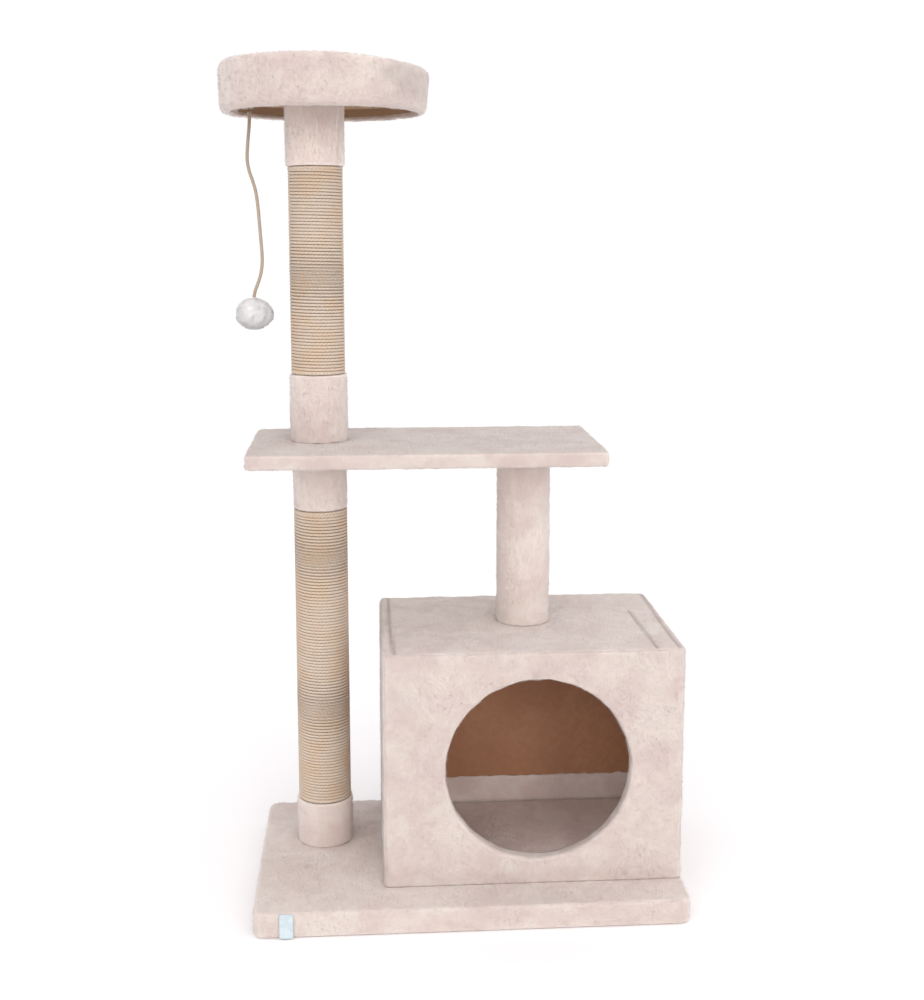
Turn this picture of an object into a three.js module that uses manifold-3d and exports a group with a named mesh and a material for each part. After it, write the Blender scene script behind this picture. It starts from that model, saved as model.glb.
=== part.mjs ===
// Cat tree: a plush-covered base with a boxy condo, a long shelf, two sisal-wound posts in line,
// a short plush post, a round padded bed on top and a pompom toy that hangs under the bed.
// Millimetres, +Z up, -Y to the front. The origin is on the floor, under the centre of the base.

import * as THREE from 'three';
import { mergeVertices } from 'three/addons/utils/BufferGeometryUtils.js';
import Module from 'manifold-3d';

const wasm = await Module();
wasm.setup();

// ---------------------------------------------------------------- driving dimensions

const GAP = 0.3; // clearance between pieces that meet
const PAST = 5; // how far a cutting tool runs past the face it cuts

// base
const BASE_WIDTH = 580;
const BASE_DEPTH = 355;
const BASE_BOARD_THICKNESS = 28;
const BASE_LINER_THICKNESS = 3.4;
const BASE_PLUSH = 4;
const BASE_CORNER_RADIUS = 16;
const BASE_EDGE_RADIUS = 6;
const BASE_TURN_UNDER = 35; // width of the plush turned under the board
const BOARD_CORNER_RADIUS = 8; // corners of every flat board

// blank label tab on the front left edge of the base
const TAB_WIDTH = 18;
const TAB_HEIGHT = 33;
const TAB_THICKNESS = 0.8;
const TAB_FROM_LEFT = 45; // base's left edge to the middle of the tab
const TAB_CLEARANCE = 1.5; // tab's lower edge to the floor

// condo
const CONDO_LEFT_SETBACK = 172; // base's left edge to the condo's side
const CONDO_RIGHT_SETBACK = 1;
const CONDO_FRONT_SETBACK = 61.5; // base's front edge to the condo's front
const CONDO_BACK_SETBACK = 3.5;
const CONDO_PANEL = 15; // thickness of the walls and the top
const CONDO_PLUSH = 3.7;
const CONDO_CORNER_RADIUS = 9;
const CONDO_EDGE_RADIUS = 6;
const CONDO_TURN_UNDER = 2; // plush under the walls' lower edges
const HEM_HEIGHT = 38; // plush turned up inside the walls
const HEM_THICKNESS = 3.5;
const DOOR_RADIUS = 124;
const DOOR_LINING = 2.7; // plush wrapped through the doorway
const DOOR_SILL = 35; // base's top to the doorway's lower edge
const DOOR_HEAD = 41; // doorway's upper edge to the condo's top
const DOOR_OFFSET_X = 5.5; // from the condo's middle

// posts
const TUBE_RADIUS = 33;
const TUBE_WALL = 3;
const PLUG_THICKNESS = 25;
const SISAL_THICKNESS = 4.2;
const LOWER_POST_LENGTH = 563;
const UPPER_POST_LENGTH = 458;
const POST_FROM_LEFT = 90; // base's left edge to the post's axis
const POST_FROM_BACK = 126.5; // base's back edge to the post's axis
const SHORT_POST_OFFSET_Y = 13; // behind the condo's middle
const CUFF_PLUSH = 7.7; // thick plush on the cuffs
const THIN_CUFF_PLUSH = 5.2; // cuff under the shelf, and the short post
const BASE_CUFF_HEIGHT = 64;
const UNDER_SHELF_CUFF_HEIGHT = 75;
const OVER_SHELF_CUFF_HEIGHT = 92;
const UNDER_BED_CUFF_HEIGHT = 86;

// shelf
const SHELF_BOARD_THICKNESS = 15;
const SHELF_PLUSH = 3.7;
const SHELF_DEPTH = 252;
const SHELF_LEFT_OVERHANG = 95; // past the long posts' axis
const SHELF_RIGHT_OVERHANG = 102; // past the short post's axis
const SHELF_OFFSET_Y = -7.5; // from midway between the two posts
const SHELF_CORNER_RADIUS = 10;
const SHELF_EDGE_RADIUS = 6;

// bed
const BED_RADIUS = 143;
const BED_HEIGHT = 72;
const BED_RIM_THICKNESS = 26;
const BED_RIM_ROUNDING = 11;
const BED_RECESS = 18; // rim's lower edge to the board's underside
const BED_BOARD_THICKNESS = 12;
const BED_PAD_THICKNESS = 9;
const BED_OFFSET_X = 14; // bed's centre from the posts' axis
const HOOP_THICKNESS = 4;
const HOOP_INSET = 12; // rim's outside to the hoop's outside
const HOOP_LOWER_EDGE = 8; // rim's lower edge to the hoop's lower edge
const HOOP_UPPER_EDGE = 22; // rim's upper edge to the hoop's upper edge
const RIM_LIP = 4; // how far the rim's fabric shows inside the hoop, under the bed

// fasteners
const BOLT_RADIUS = 4;
const BOLT_CLEARANCE = 0.5; // round the shank, in whatever it passes through
const BOLT_HEAD_OVERHANG = 3; // head's edge past the shank
const BOLT_HEAD_HEIGHT = 4;
const BOLT_GRIP = 18; // how far a bolt reaches into its post
const WASHER_OVERHANG = 2; // washer's edge past the bolt's head
const WASHER_THICKNESS = 1.6;
const WASHER_CLEARANCE = 1; // round the washer, in its counterbore
const BASE_HEAD_RECESS = 2.8; // depth of the head below the board's face
const BED_HEAD_RECESS = 0.8;
const SHELF_HEAD_RECESS = 0.7;
const FLAT_HEAD_HEIGHT = 3;
const INSERT_WALL = 1.5;
const INSERT_LENGTH = 16;
const SCREW_RADIUS = 1.8;
const SCREW_CLEARANCE = 0.5;
const SCREW_HEAD_OVERHANG = 1.8;
const SCREW_HEAD_HEIGHT = 2.5;
const SCREW_HEAD_RECESS = 7.2;
const SCREW_GRIP = 32; // how far a screw reaches into a wall
const SCREW_FROM_CORNER = 56; // condo's front or back to the screw
const SCREW_PILOT_SPARE = 1; // pilot hole's end past the screw's tip

// toy
const TOY_GAP_SHARE = 0.266; // how far into the gap between the rim's inside and the cuff
const STAPLE_WIRE_RADIUS = 0.6;
const STAPLE_WIDTH = 10;
const STAPLE_DROP = 4.2; // board's underside to the crown wire
const STAPLE_BITE = 8; // legs in the board
const LOOP_RADIUS = 4;
const LOOP_STRING_RADIUS = 1.2;
const KNOT_RADIUS = 3.4;
const CORD_DIAMETER = 4.6;
const CORD_SIDES = 8;
const CORD_STEPS = 26;
const POMPOM_RADIUS = 26.5;
const POMPOM_FLATNESS = 0.84;

// Route of the toy's cord, as sideways and upward offsets from the knot's underside.
const CORD_ROUTE = [
  [0.0, 0], [-0.9, -14], [-2.8, -32], [-4.3, -50], [-4.2, -62],
  [-1.6, -75], [2.7, -88], [6.2, -102], [8.6, -122], [10.0, -143],
  [11.2, -162], [12.4, -180], [12.6, -194], [11.0, -208], [7.2, -221],
  [2.6, -233], [0.4, -243],
];

// ---------------------------------------------------------------- places worked out from them

const BOLT_HOLE_RADIUS = BOLT_RADIUS + BOLT_CLEARANCE;
const BOLT_HEAD_RADIUS = BOLT_RADIUS + BOLT_HEAD_OVERHANG;
const WASHER_RADIUS = BOLT_HEAD_RADIUS + WASHER_OVERHANG;
const COUNTERBORE_RADIUS = WASHER_RADIUS + WASHER_CLEARANCE;
const WASHERED_HEAD = GAP + WASHER_THICKNESS + GAP + BOLT_HEAD_HEIGHT;
const BASE_COUNTERBORE_DEPTH = WASHERED_HEAD + BASE_HEAD_RECESS;
const BED_COUNTERBORE_DEPTH = WASHERED_HEAD + BED_HEAD_RECESS;
const SHELF_COUNTERBORE_DEPTH = GAP + FLAT_HEAD_HEIGHT + SHELF_HEAD_RECESS;
const INSERT_RADIUS = BOLT_HOLE_RADIUS + INSERT_WALL;
const SCREW_HEAD_RADIUS = SCREW_RADIUS + SCREW_HEAD_OVERHANG;
const SCREW_COUNTERBORE_DEPTH = GAP + SCREW_HEAD_HEIGHT + SCREW_HEAD_RECESS;

const BASE_TOP = BASE_LINER_THICKNESS + GAP + BASE_BOARD_THICKNESS + GAP + BASE_PLUSH;
const BASE_BOARD_BOTTOM = BASE_LINER_THICKNESS + GAP;
const BASE_BOARD_TOP = BASE_BOARD_BOTTOM + BASE_BOARD_THICKNESS;

const CONDO_X0 = -BASE_WIDTH / 2 + CONDO_LEFT_SETBACK;
const CONDO_X1 = BASE_WIDTH / 2 - CONDO_RIGHT_SETBACK;
const CONDO_Y0 = -BASE_DEPTH / 2 + CONDO_FRONT_SETBACK;
const CONDO_Y1 = BASE_DEPTH / 2 - CONDO_BACK_SETBACK;
const CONDO_BOTTOM = BASE_TOP + GAP;
const DOOR_Z = BASE_TOP + DOOR_SILL + DOOR_RADIUS;
const CONDO_TOP = DOOR_Z + DOOR_RADIUS + DOOR_HEAD;
const CONDO_MIDDLE_X = (CONDO_X0 + CONDO_X1) / 2;
const CONDO_MIDDLE_Y = (CONDO_Y0 + CONDO_Y1) / 2;
const CEILING = CONDO_TOP - CONDO_PLUSH - GAP - CONDO_PANEL;
const WALL_BOTTOM = CONDO_BOTTOM + CONDO_TURN_UNDER + GAP;
const HEM_TOP = WALL_BOTTOM + HEM_HEIGHT;
const DOOR_X = CONDO_MIDDLE_X + DOOR_OFFSET_X;

// outside faces of the condo's walls, and the room inside them
const WALLS = {
  x0: CONDO_X0 + CONDO_PLUSH + GAP,
  x1: CONDO_X1 - CONDO_PLUSH - GAP,
  y0: CONDO_Y0 + CONDO_PLUSH + GAP,
  y1: CONDO_Y1 - CONDO_PLUSH - GAP,
};
const ROOM = {
  x0: WALLS.x0 + CONDO_PANEL,
  x1: WALLS.x1 - CONDO_PANEL,
  y0: WALLS.y0 + CONDO_PANEL,
  y1: WALLS.y1 - CONDO_PANEL,
};

const POST = { x: -BASE_WIDTH / 2 + POST_FROM_LEFT, y: BASE_DEPTH / 2 - POST_FROM_BACK };
const SHORT_POST = { x: CONDO_MIDDLE_X, y: CONDO_MIDDLE_Y + SHORT_POST_OFFSET_Y };

const SHELF_BOTTOM = BASE_TOP + LOWER_POST_LENGTH;
const SHELF_THICKNESS = SHELF_BOARD_THICKNESS + 2 * (SHELF_PLUSH + GAP);
const SHELF_TOP = SHELF_BOTTOM + SHELF_THICKNESS;
const SHELF_BOARD_BOTTOM = SHELF_BOTTOM + SHELF_PLUSH + GAP;
const SHELF_BOARD_TOP = SHELF_BOARD_BOTTOM + SHELF_BOARD_THICKNESS;
const SHELF_MIDDLE_Y = (POST.y + SHORT_POST.y) / 2 + SHELF_OFFSET_Y;
const SHELF = {
  x0: POST.x - SHELF_LEFT_OVERHANG,
  x1: SHORT_POST.x + SHELF_RIGHT_OVERHANG,
  y0: SHELF_MIDDLE_Y - SHELF_DEPTH / 2,
  y1: SHELF_MIDDLE_Y + SHELF_DEPTH / 2,
};

const BED = { x: POST.x + BED_OFFSET_X, y: POST.y };
const BED_BOARD_BOTTOM = SHELF_TOP + UPPER_POST_LENGTH;
const BED_BOARD_TOP = BED_BOARD_BOTTOM + BED_BOARD_THICKNESS;
const BED_BOTTOM = BED_BOARD_BOTTOM - BED_RECESS;
const BED_TOP = BED_BOTTOM + BED_HEIGHT;
const BED_INSIDE_RADIUS = BED_RADIUS - BED_RIM_THICKNESS;
const HOOP_OUTSIDE_RADIUS = BED_RADIUS - HOOP_INSET;
const HOOP_INSIDE_RADIUS = HOOP_OUTSIDE_RADIUS - HOOP_THICKNESS;

const SLEEVE_RADIUS = TUBE_RADIUS + GAP; // inside of whatever is wrapped round a tube
const PLUG_RADIUS = TUBE_RADIUS - TUBE_WALL - GAP;
const INSERT_HOLE_RADIUS = INSERT_RADIUS + GAP;

const RIM_INSIDE_X = BED.x - BED_INSIDE_RADIUS;
const CUFF_OUTSIDE_X = POST.x - SLEEVE_RADIUS - CUFF_PLUSH;
const TOY = { x: RIM_INSIDE_X + TOY_GAP_SHARE * (CUFF_OUTSIDE_X - RIM_INSIDE_X), y: BED.y };
const STAPLE_CROWN = BED_BOARD_BOTTOM - STAPLE_DROP;
const LOOP_HOLE_RADIUS = LOOP_RADIUS - LOOP_STRING_RADIUS;
const LOOP_CENTRE = STAPLE_CROWN + STAPLE_WIRE_RADIUS + GAP - LOOP_HOLE_RADIUS;
const LOOP_BOTTOM = LOOP_CENTRE - LOOP_RADIUS - LOOP_STRING_RADIUS;
const KNOT_CENTRE = LOOP_BOTTOM - GAP - KNOT_RADIUS;
const CORD_START = KNOT_CENTRE - KNOT_RADIUS - GAP;
const CORD_END = CORD_START + CORD_ROUTE.at(-1)[1];
const POMPOM_CENTRE = CORD_END - GAP - POMPOM_RADIUS * POMPOM_FLATNESS;

const SCREW_PLACES = {
  front_left: [(WALLS.x0 + ROOM.x0) / 2, CONDO_Y0 + SCREW_FROM_CORNER],
  front_right: [(WALLS.x1 + ROOM.x1) / 2, CONDO_Y0 + SCREW_FROM_CORNER],
  back_left: [(WALLS.x0 + ROOM.x0) / 2, CONDO_Y1 - SCREW_FROM_CORNER],
  back_right: [(WALLS.x1 + ROOM.x1) / 2, CONDO_Y1 - SCREW_FROM_CORNER],
};

// ---------------------------------------------------------------- colours and finishes

const finish = (color, roughness, metalness = 0) => () =>
  new THREE.MeshStandardMaterial({ color, roughness, metalness });

const plush = finish(0xe8dcd4, 0.95);
const plushInside = finish(0xcdbeb8, 0.95);
const sisal = finish(0xcdb496, 0.9);
const chipboard = finish(0x8f6a4e, 0.8);
const cardboard = finish(0xb08d68, 0.85);
const plugWood = finish(0xc9a877, 0.75);
const steel = finish(0xb9bcc0, 0.35, 0.9);
const felt = finish(0x3b3a3c, 0.95);
const label = finish(0xe6f1f2, 0.7);
const yarn = finish(0xf6f4f0, 0.95);

// ---------------------------------------------------------------- solids

const ROUND_SIDES = 36; // sides of tubes, cuffs and large rounds
const SMALL_SIDES = 14; // sides of fasteners and their holes
const BALL_SIDES = 24; // sides of the pompom
const CURVE_SEGMENTS = 3; // steps in a rounded corner

// A closed geometry becomes a solid that can be cut and joined.
function solid(geometry) {
  const bare = geometry.clone();
  bare.deleteAttribute('normal');
  bare.deleteAttribute('uv');
  const merged = mergeVertices(bare, 1e-4);
  const vertProperties = new Float32Array(merged.attributes.position.array);
  const triVerts = new Uint32Array(merged.index.array);
  return new wasm.Manifold(new wasm.Mesh({ numProp: 3, vertProperties, triVerts }));
}

// The solid goes back to a geometry that a mesh can show.
function geometryOf(body) {
  const mesh = body.getMesh();
  const geometry = new THREE.BufferGeometry();
  geometry.setAttribute('position', new THREE.BufferAttribute(new Float32Array(mesh.vertProperties), 3));
  geometry.setIndex(new THREE.BufferAttribute(new Uint32Array(mesh.triVerts), 1));
  geometry.computeVertexNormals();
  return geometry;
}

function cut(body, tools) {
  return tools.reduce((rest, tool) => rest.subtract(tool), body);
}

function join(bodies) {
  return bodies.reduce((sum, next) => sum.add(next));
}

function block(x0, x1, y0, y1, z0, z1) {
  const geometry = new THREE.BoxGeometry(x1 - x0, y1 - y0, z1 - z0);
  geometry.translate((x0 + x1) / 2, (y0 + y1) / 2, (z0 + z1) / 2);
  return solid(geometry);
}

// An upright disc or rod round the axis at (x, y).
function rod(x, y, radius, z0, z1, sides = SMALL_SIDES) {
  const geometry = new THREE.CylinderGeometry(radius, radius, z1 - z0, sides);
  geometry.rotateX(Math.PI / 2);
  geometry.translate(x, y, (z0 + z1) / 2);
  return solid(geometry);
}

// A rod that lies along Y.
function rodAlongY(x, z, radius, y0, y1, sides = SMALL_SIDES) {
  const geometry = new THREE.CylinderGeometry(radius, radius, y1 - y0, sides);
  geometry.translate(x, (y0 + y1) / 2, z);
  return solid(geometry);
}

// An upright tube round the axis at (x, y).
function tube(x, y, inside, outside, z0, z1) {
  const wall = rod(x, y, outside, z0, z1, ROUND_SIDES);
  return wall.subtract(rod(x, y, inside, z0 - PAST, z1 + PAST, ROUND_SIDES));
}

// A profile of [radius, height] points turned round the axis at (x, y).
function turned(x, y, profile, sides = ROUND_SIDES) {
  const points = profile.map(([radius, height]) => new THREE.Vector2(radius, height));
  const geometry = new THREE.LatheGeometry(points, sides);
  geometry.rotateX(Math.PI / 2);
  geometry.translate(x, y, 0);
  return solid(geometry);
}

function roundedOutline(x0, x1, y0, y1, radius) {
  const outline = new THREE.Shape();
  outline.moveTo(x0 + radius, y0);
  outline.lineTo(x1 - radius, y0);
  outline.absarc(x1 - radius, y0 + radius, radius, -Math.PI / 2, 0);
  outline.lineTo(x1, y1 - radius);
  outline.absarc(x1 - radius, y1 - radius, radius, 0, Math.PI / 2);
  outline.lineTo(x0 + radius, y1);
  outline.absarc(x0 + radius, y1 - radius, radius, Math.PI / 2, Math.PI);
  outline.lineTo(x0, y0 + radius);
  outline.absarc(x0 + radius, y0 + radius, radius, Math.PI, Math.PI * 1.5);
  return outline;
}

// A flat slab with rounded upright corners, and edges rounded where edge is above 0.
function slab({ x0, x1, y0, y1 }, z0, z1, corner, edge = 0) {
  const outline = roundedOutline(x0 + edge, x1 - edge, y0 + edge, y1 - edge, corner - edge);
  const geometry = new THREE.ExtrudeGeometry(outline, {
    depth: z1 - z0 - 2 * edge,
    curveSegments: CURVE_SEGMENTS,
    bevelEnabled: edge > 0,
    bevelSize: edge,
    bevelThickness: edge,
    bevelSegments: CURVE_SEGMENTS,
  });
  geometry.translate(0, 0, z0 + edge);
  return solid(geometry);
}

function inset({ x0, x1, y0, y1 }, by) {
  return { x0: x0 + by, x1: x1 - by, y0: y0 + by, y1: y1 - by };
}

// ---------------------------------------------------------------- the tree that holds the pieces

const tree = new THREE.Group();

function addPiece(name, material, body) {
  const mesh = new THREE.Mesh(geometryOf(body), material());
  mesh.name = name;
  tree.add(mesh);
}

// ---------------------------------------------------------------- base

const BASE_OUTLINE = {
  x0: -BASE_WIDTH / 2,
  x1: BASE_WIDTH / 2,
  y0: -BASE_DEPTH / 2,
  y1: BASE_DEPTH / 2,
};

// holes up through the base for the post's bolt and the condo's screws
function baseHoles(z0, z1) {
  const screwHole = SCREW_RADIUS + SCREW_CLEARANCE;
  const screws = Object.values(SCREW_PLACES).map(([x, y]) => rod(x, y, screwHole, z0, z1));
  return [rod(POST.x, POST.y, BOLT_HOLE_RADIUS, z0, z1), ...screws];
}

// wider holes below, where the heads sit
function baseCounterbores(z0) {
  const boltTop = BASE_BOARD_BOTTOM + BASE_COUNTERBORE_DEPTH;
  const screwTop = BASE_BOARD_BOTTOM + SCREW_COUNTERBORE_DEPTH;
  const radius = SCREW_HEAD_RADIUS + SCREW_CLEARANCE;
  const screws = Object.values(SCREW_PLACES).map(([x, y]) => rod(x, y, radius, z0, screwTop));
  return [rod(POST.x, POST.y, COUNTERBORE_RADIUS, z0, boltTop), ...screws];
}

function baseBoard() {
  const outline = inset(BASE_OUTLINE, BASE_PLUSH + GAP);
  const board = slab(outline, BASE_BOARD_BOTTOM, BASE_BOARD_TOP, BOARD_CORNER_RADIUS);
  return cut(board, [...baseHoles(-PAST, BASE_TOP), ...baseCounterbores(-PAST)]);
}

function baseCover() {
  const shell = slab(BASE_OUTLINE, 0, BASE_TOP, BASE_CORNER_RADIUS, BASE_EDGE_RADIUS);
  const pocket = inset(BASE_OUTLINE, BASE_PLUSH);
  const room = slab(pocket, BASE_LINER_THICKNESS, BASE_BOARD_TOP + GAP, BOARD_CORNER_RADIUS);
  const mouth = slab(inset(BASE_OUTLINE, BASE_TURN_UNDER), -PAST, BASE_BOARD_BOTTOM, BOARD_CORNER_RADIUS);
  const holes = baseHoles(BASE_BOARD_BOTTOM, BASE_TOP + PAST);
  return cut(shell, [room, mouth, ...holes, ...baseCounterbores(-PAST)]);
}

function baseLiner() {
  const outline = inset(BASE_OUTLINE, BASE_TURN_UNDER + GAP);
  const liner = slab(outline, 0, BASE_LINER_THICKNESS, BOARD_CORNER_RADIUS);
  return cut(liner, baseCounterbores(-PAST));
}

function baseLabelTab() {
  const x = BASE_OUTLINE.x0 + TAB_FROM_LEFT;
  const y1 = BASE_OUTLINE.y0 - GAP;
  const z1 = TAB_CLEARANCE + TAB_HEIGHT;
  return block(x - TAB_WIDTH / 2, x + TAB_WIDTH / 2, y1 - TAB_THICKNESS, y1, TAB_CLEARANCE, z1);
}

addPiece('base_board', chipboard, baseBoard());
addPiece('base_cover', plush, baseCover());
addPiece('base_liner', felt, baseLiner());
addPiece('base_label_tab', label, baseLabelTab());

// ---------------------------------------------------------------- bolts, washers, screws and inserts

// A bolt on its head's seat, with the shank up when way is 1 and down when way is -1.
function bolt(x, y, seat, length, headHeight, headRadius, way) {
  const tip = seat + way * length;
  const root = seat - (way * headHeight) / 2;
  const headEnd = seat - way * headHeight;
  const shank = rod(x, y, BOLT_RADIUS, Math.min(root, tip), Math.max(root, tip));
  const head = rod(x, y, headRadius, Math.min(seat, headEnd), Math.max(seat, headEnd));
  return head.add(shank);
}

function washer(x, y, z0) {
  const disc = rod(x, y, WASHER_RADIUS, z0, z0 + WASHER_THICKNESS);
  return disc.subtract(rod(x, y, BOLT_HOLE_RADIUS, z0 - PAST, z0 + WASHER_THICKNESS + PAST));
}

// A washer under a ceiling, with its bolt's head below it and the shank reaching up to top.
function addBoltFromBelow(name, x, y, ceiling, top) {
  const washerBottom = ceiling - GAP - WASHER_THICKNESS;
  const seat = washerBottom - GAP;
  addPiece(`${name}_washer`, steel, washer(x, y, washerBottom));
  addPiece(`${name}_bolt`, steel, bolt(x, y, seat, top - seat, BOLT_HEAD_HEIGHT, BOLT_HEAD_RADIUS, 1));
}

function condoScrew(x, y) {
  const seat = BASE_BOARD_BOTTOM + SCREW_COUNTERBORE_DEPTH - GAP;
  const head = rod(x, y, SCREW_HEAD_RADIUS, seat - SCREW_HEAD_HEIGHT, seat);
  return head.add(rod(x, y, SCREW_RADIUS, seat - SCREW_HEAD_HEIGHT / 2, WALL_BOTTOM + SCREW_GRIP));
}

addBoltFromBelow('base', POST.x, POST.y, BASE_BOARD_BOTTOM + BASE_COUNTERBORE_DEPTH, BASE_TOP + BOLT_GRIP);
addBoltFromBelow('condo', SHORT_POST.x, SHORT_POST.y, CEILING, CONDO_TOP + BOLT_GRIP);
for (const [corner, [x, y]] of Object.entries(SCREW_PLACES)) {
  addPiece(`condo_screw_${corner}`, steel, condoScrew(x, y));
}

// ---------------------------------------------------------------- condo

function doorway(radius) {
  return rodAlongY(DOOR_X, DOOR_Z, radius, CONDO_Y0 - PAST, ROOM.y0 + HEM_THICKNESS + PAST, ROUND_SIDES);
}

function screwPilots() {
  const top = WALL_BOTTOM + SCREW_GRIP + SCREW_PILOT_SPARE;
  return Object.values(SCREW_PLACES).map(([x, y]) => rod(x, y, SCREW_RADIUS + GAP, 0, top));
}

function condoFrontPanel() {
  const panel = block(WALLS.x0, WALLS.x1, WALLS.y0, ROOM.y0, WALL_BOTTOM, CEILING - GAP);
  return panel.subtract(doorway(DOOR_RADIUS + DOOR_LINING + GAP));
}

function condoBackPanel() {
  return block(WALLS.x0, WALLS.x1, ROOM.y1, WALLS.y1, WALL_BOTTOM, CEILING - GAP);
}

function condoSidePanel(x0, x1) {
  return cut(block(x0, x1, ROOM.y0 + GAP, ROOM.y1 - GAP, WALL_BOTTOM, CEILING - GAP), screwPilots());
}

function condoTopPanel() {
  const panel = block(WALLS.x0, WALLS.x1, WALLS.y0, WALLS.y1, CEILING, CEILING + CONDO_PANEL);
  return panel.subtract(rod(SHORT_POST.x, SHORT_POST.y, BOLT_HOLE_RADIUS, CEILING - PAST, CONDO_TOP));
}

// plush band up the inside of the walls, joined to the plush under them
function condoHem() {
  const outer = inset(ROOM, GAP);
  const inner = inset(outer, HEM_THICKNESS);
  const band = block(outer.x0, outer.x1, outer.y0, outer.y1, CONDO_BOTTOM, HEM_TOP);
  return band.subtract(block(inner.x0, inner.x1, inner.y0, inner.y1, 0, HEM_TOP + PAST));
}

// plush wrapped round the doorway's edge, through the front wall
function doorLining() {
  const outside = DOOR_RADIUS + DOOR_LINING;
  const sleeve = rodAlongY(DOOR_X, DOOR_Z, outside, WALLS.y0 - 2 * GAP, ROOM.y0, ROUND_SIDES);
  return sleeve.subtract(doorway(DOOR_RADIUS));
}

function condoCover() {
  const outline = { x0: CONDO_X0, x1: CONDO_X1, y0: CONDO_Y0, y1: CONDO_Y1 };
  const shell = slab(outline, CONDO_BOTTOM, CONDO_TOP, CONDO_CORNER_RADIUS, CONDO_EDGE_RADIUS);
  const walls = inset(WALLS, -GAP);
  const wallRoom = block(walls.x0, walls.x1, walls.y0, walls.y1, WALL_BOTTOM - GAP, CONDO_TOP - CONDO_PLUSH);
  const mouth = inset(ROOM, GAP + HEM_THICKNESS / 2);
  const floor = block(mouth.x0, mouth.x1, mouth.y0, mouth.y1, 0, WALL_BOTTOM);
  const hollow = cut(shell, [wallRoom, floor]);
  const lined = join([hollow, condoHem(), doorLining()]);
  const boltHole = rod(SHORT_POST.x, SHORT_POST.y, BOLT_HOLE_RADIUS, CEILING, CONDO_TOP + PAST);
  return cut(lined, [doorway(DOOR_RADIUS), boltHole, ...screwPilots()]);
}

addPiece('condo_front_panel', chipboard, condoFrontPanel());
addPiece('condo_back_panel', chipboard, condoBackPanel());
addPiece('condo_left_panel', chipboard, condoSidePanel(WALLS.x0, ROOM.x0));
addPiece('condo_right_panel', chipboard, condoSidePanel(ROOM.x1, WALLS.x1));
addPiece('condo_top_panel', chipboard, condoTopPanel());
addPiece('condo_cover', plush, condoCover());

// ---------------------------------------------------------------- posts

// Tube, end plugs and threaded inserts of the post at (x, y), between the faces it stands between.
function addPostCore(name, { x, y }, bottom, top) {
  const z0 = bottom + GAP;
  const z1 = top - GAP;
  addPiece(`${name}_tube`, cardboard, tube(x, y, TUBE_RADIUS - TUBE_WALL, TUBE_RADIUS, z0, z1));
  const ends = {
    bottom: [z0, z0 + PLUG_THICKNESS, z0, z0 + INSERT_LENGTH],
    top: [z1 - PLUG_THICKNESS, z1, z1 - INSERT_LENGTH, z1],
  };
  for (const [end, [plug0, plug1, insert0, insert1]] of Object.entries(ends)) {
    addPiece(`${name}_${end}_plug`, plugWood, tube(x, y, INSERT_HOLE_RADIUS, PLUG_RADIUS, plug0, plug1));
    const insert = rod(x, y, INSERT_RADIUS, insert0, insert1);
    const bore = rod(x, y, BOLT_HOLE_RADIUS, insert0 - PAST, insert1 + PAST);
    addPiece(`${name}_${end}_insert`, steel, insert.subtract(bore));
  }
}

// A layer of plush or rope round a post, from one face to the next.
function addWrap(name, material, { x, y }, thickness, z0, z1) {
  const outside = SLEEVE_RADIUS + thickness;
  addPiece(name, material, tube(x, y, SLEEVE_RADIUS, outside, z0 + GAP / 2, z1 - GAP / 2));
}

// A long post: a cuff, a rope winding and a second cuff, end to end.
function addSisalPost(name, bottom, top, cuffs) {
  const sisalBottom = bottom + cuffs.bottom;
  const sisalTop = top - cuffs.top;
  addPostCore(name, POST, bottom, top);
  addWrap(`${name}_bottom_cuff`, plush, POST, CUFF_PLUSH, bottom + GAP / 2, sisalBottom);
  addWrap(`${name}_sisal`, sisal, POST, SISAL_THICKNESS, sisalBottom, sisalTop);
  addWrap(`${name}_top_cuff`, plush, POST, cuffs.topPlush, sisalTop, top - GAP / 2);
}

const LOWER_CUFFS = { bottom: BASE_CUFF_HEIGHT, top: UNDER_SHELF_CUFF_HEIGHT, topPlush: THIN_CUFF_PLUSH };
const UPPER_CUFFS = { bottom: OVER_SHELF_CUFF_HEIGHT, top: UNDER_BED_CUFF_HEIGHT, topPlush: CUFF_PLUSH };
addSisalPost('lower_post', BASE_TOP, SHELF_BOTTOM, LOWER_CUFFS);
addSisalPost('upper_post', SHELF_TOP, BED_BOARD_BOTTOM, UPPER_CUFFS);
addPostCore('short_post', SHORT_POST, CONDO_TOP, SHELF_BOTTOM);
addWrap('short_post_cover', plush, SHORT_POST, THIN_CUFF_PLUSH, CONDO_TOP + GAP / 2, SHELF_BOTTOM - GAP / 2);

// ---------------------------------------------------------------- shelf

function shelfHoles() {
  const through = rod(POST.x, POST.y, BOLT_HOLE_RADIUS, SHELF_BOTTOM - PAST, SHELF_TOP + PAST);
  const below = rod(SHORT_POST.x, SHORT_POST.y, BOLT_HOLE_RADIUS, SHELF_BOTTOM - PAST, SHELF_BOARD_TOP);
  return [through, below];
}

function shelfBoard() {
  const outline = inset(SHELF, SHELF_PLUSH + GAP);
  const board = slab(outline, SHELF_BOARD_BOTTOM, SHELF_BOARD_TOP, BOARD_CORNER_RADIUS);
  const headSeat = SHELF_BOARD_TOP - SHELF_COUNTERBORE_DEPTH;
  const headRoom = rod(SHORT_POST.x, SHORT_POST.y, COUNTERBORE_RADIUS, headSeat, SHELF_TOP);
  return cut(board, [...shelfHoles(), headRoom]);
}

function shelfCover() {
  const shell = slab(SHELF, SHELF_BOTTOM, SHELF_TOP, SHELF_CORNER_RADIUS, SHELF_EDGE_RADIUS);
  const pocket = inset(SHELF, SHELF_PLUSH);
  const room = slab(pocket, SHELF_BOARD_BOTTOM - GAP, SHELF_BOARD_TOP + GAP, BOARD_CORNER_RADIUS);
  return cut(shell, [room, ...shelfHoles()]);
}

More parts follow.
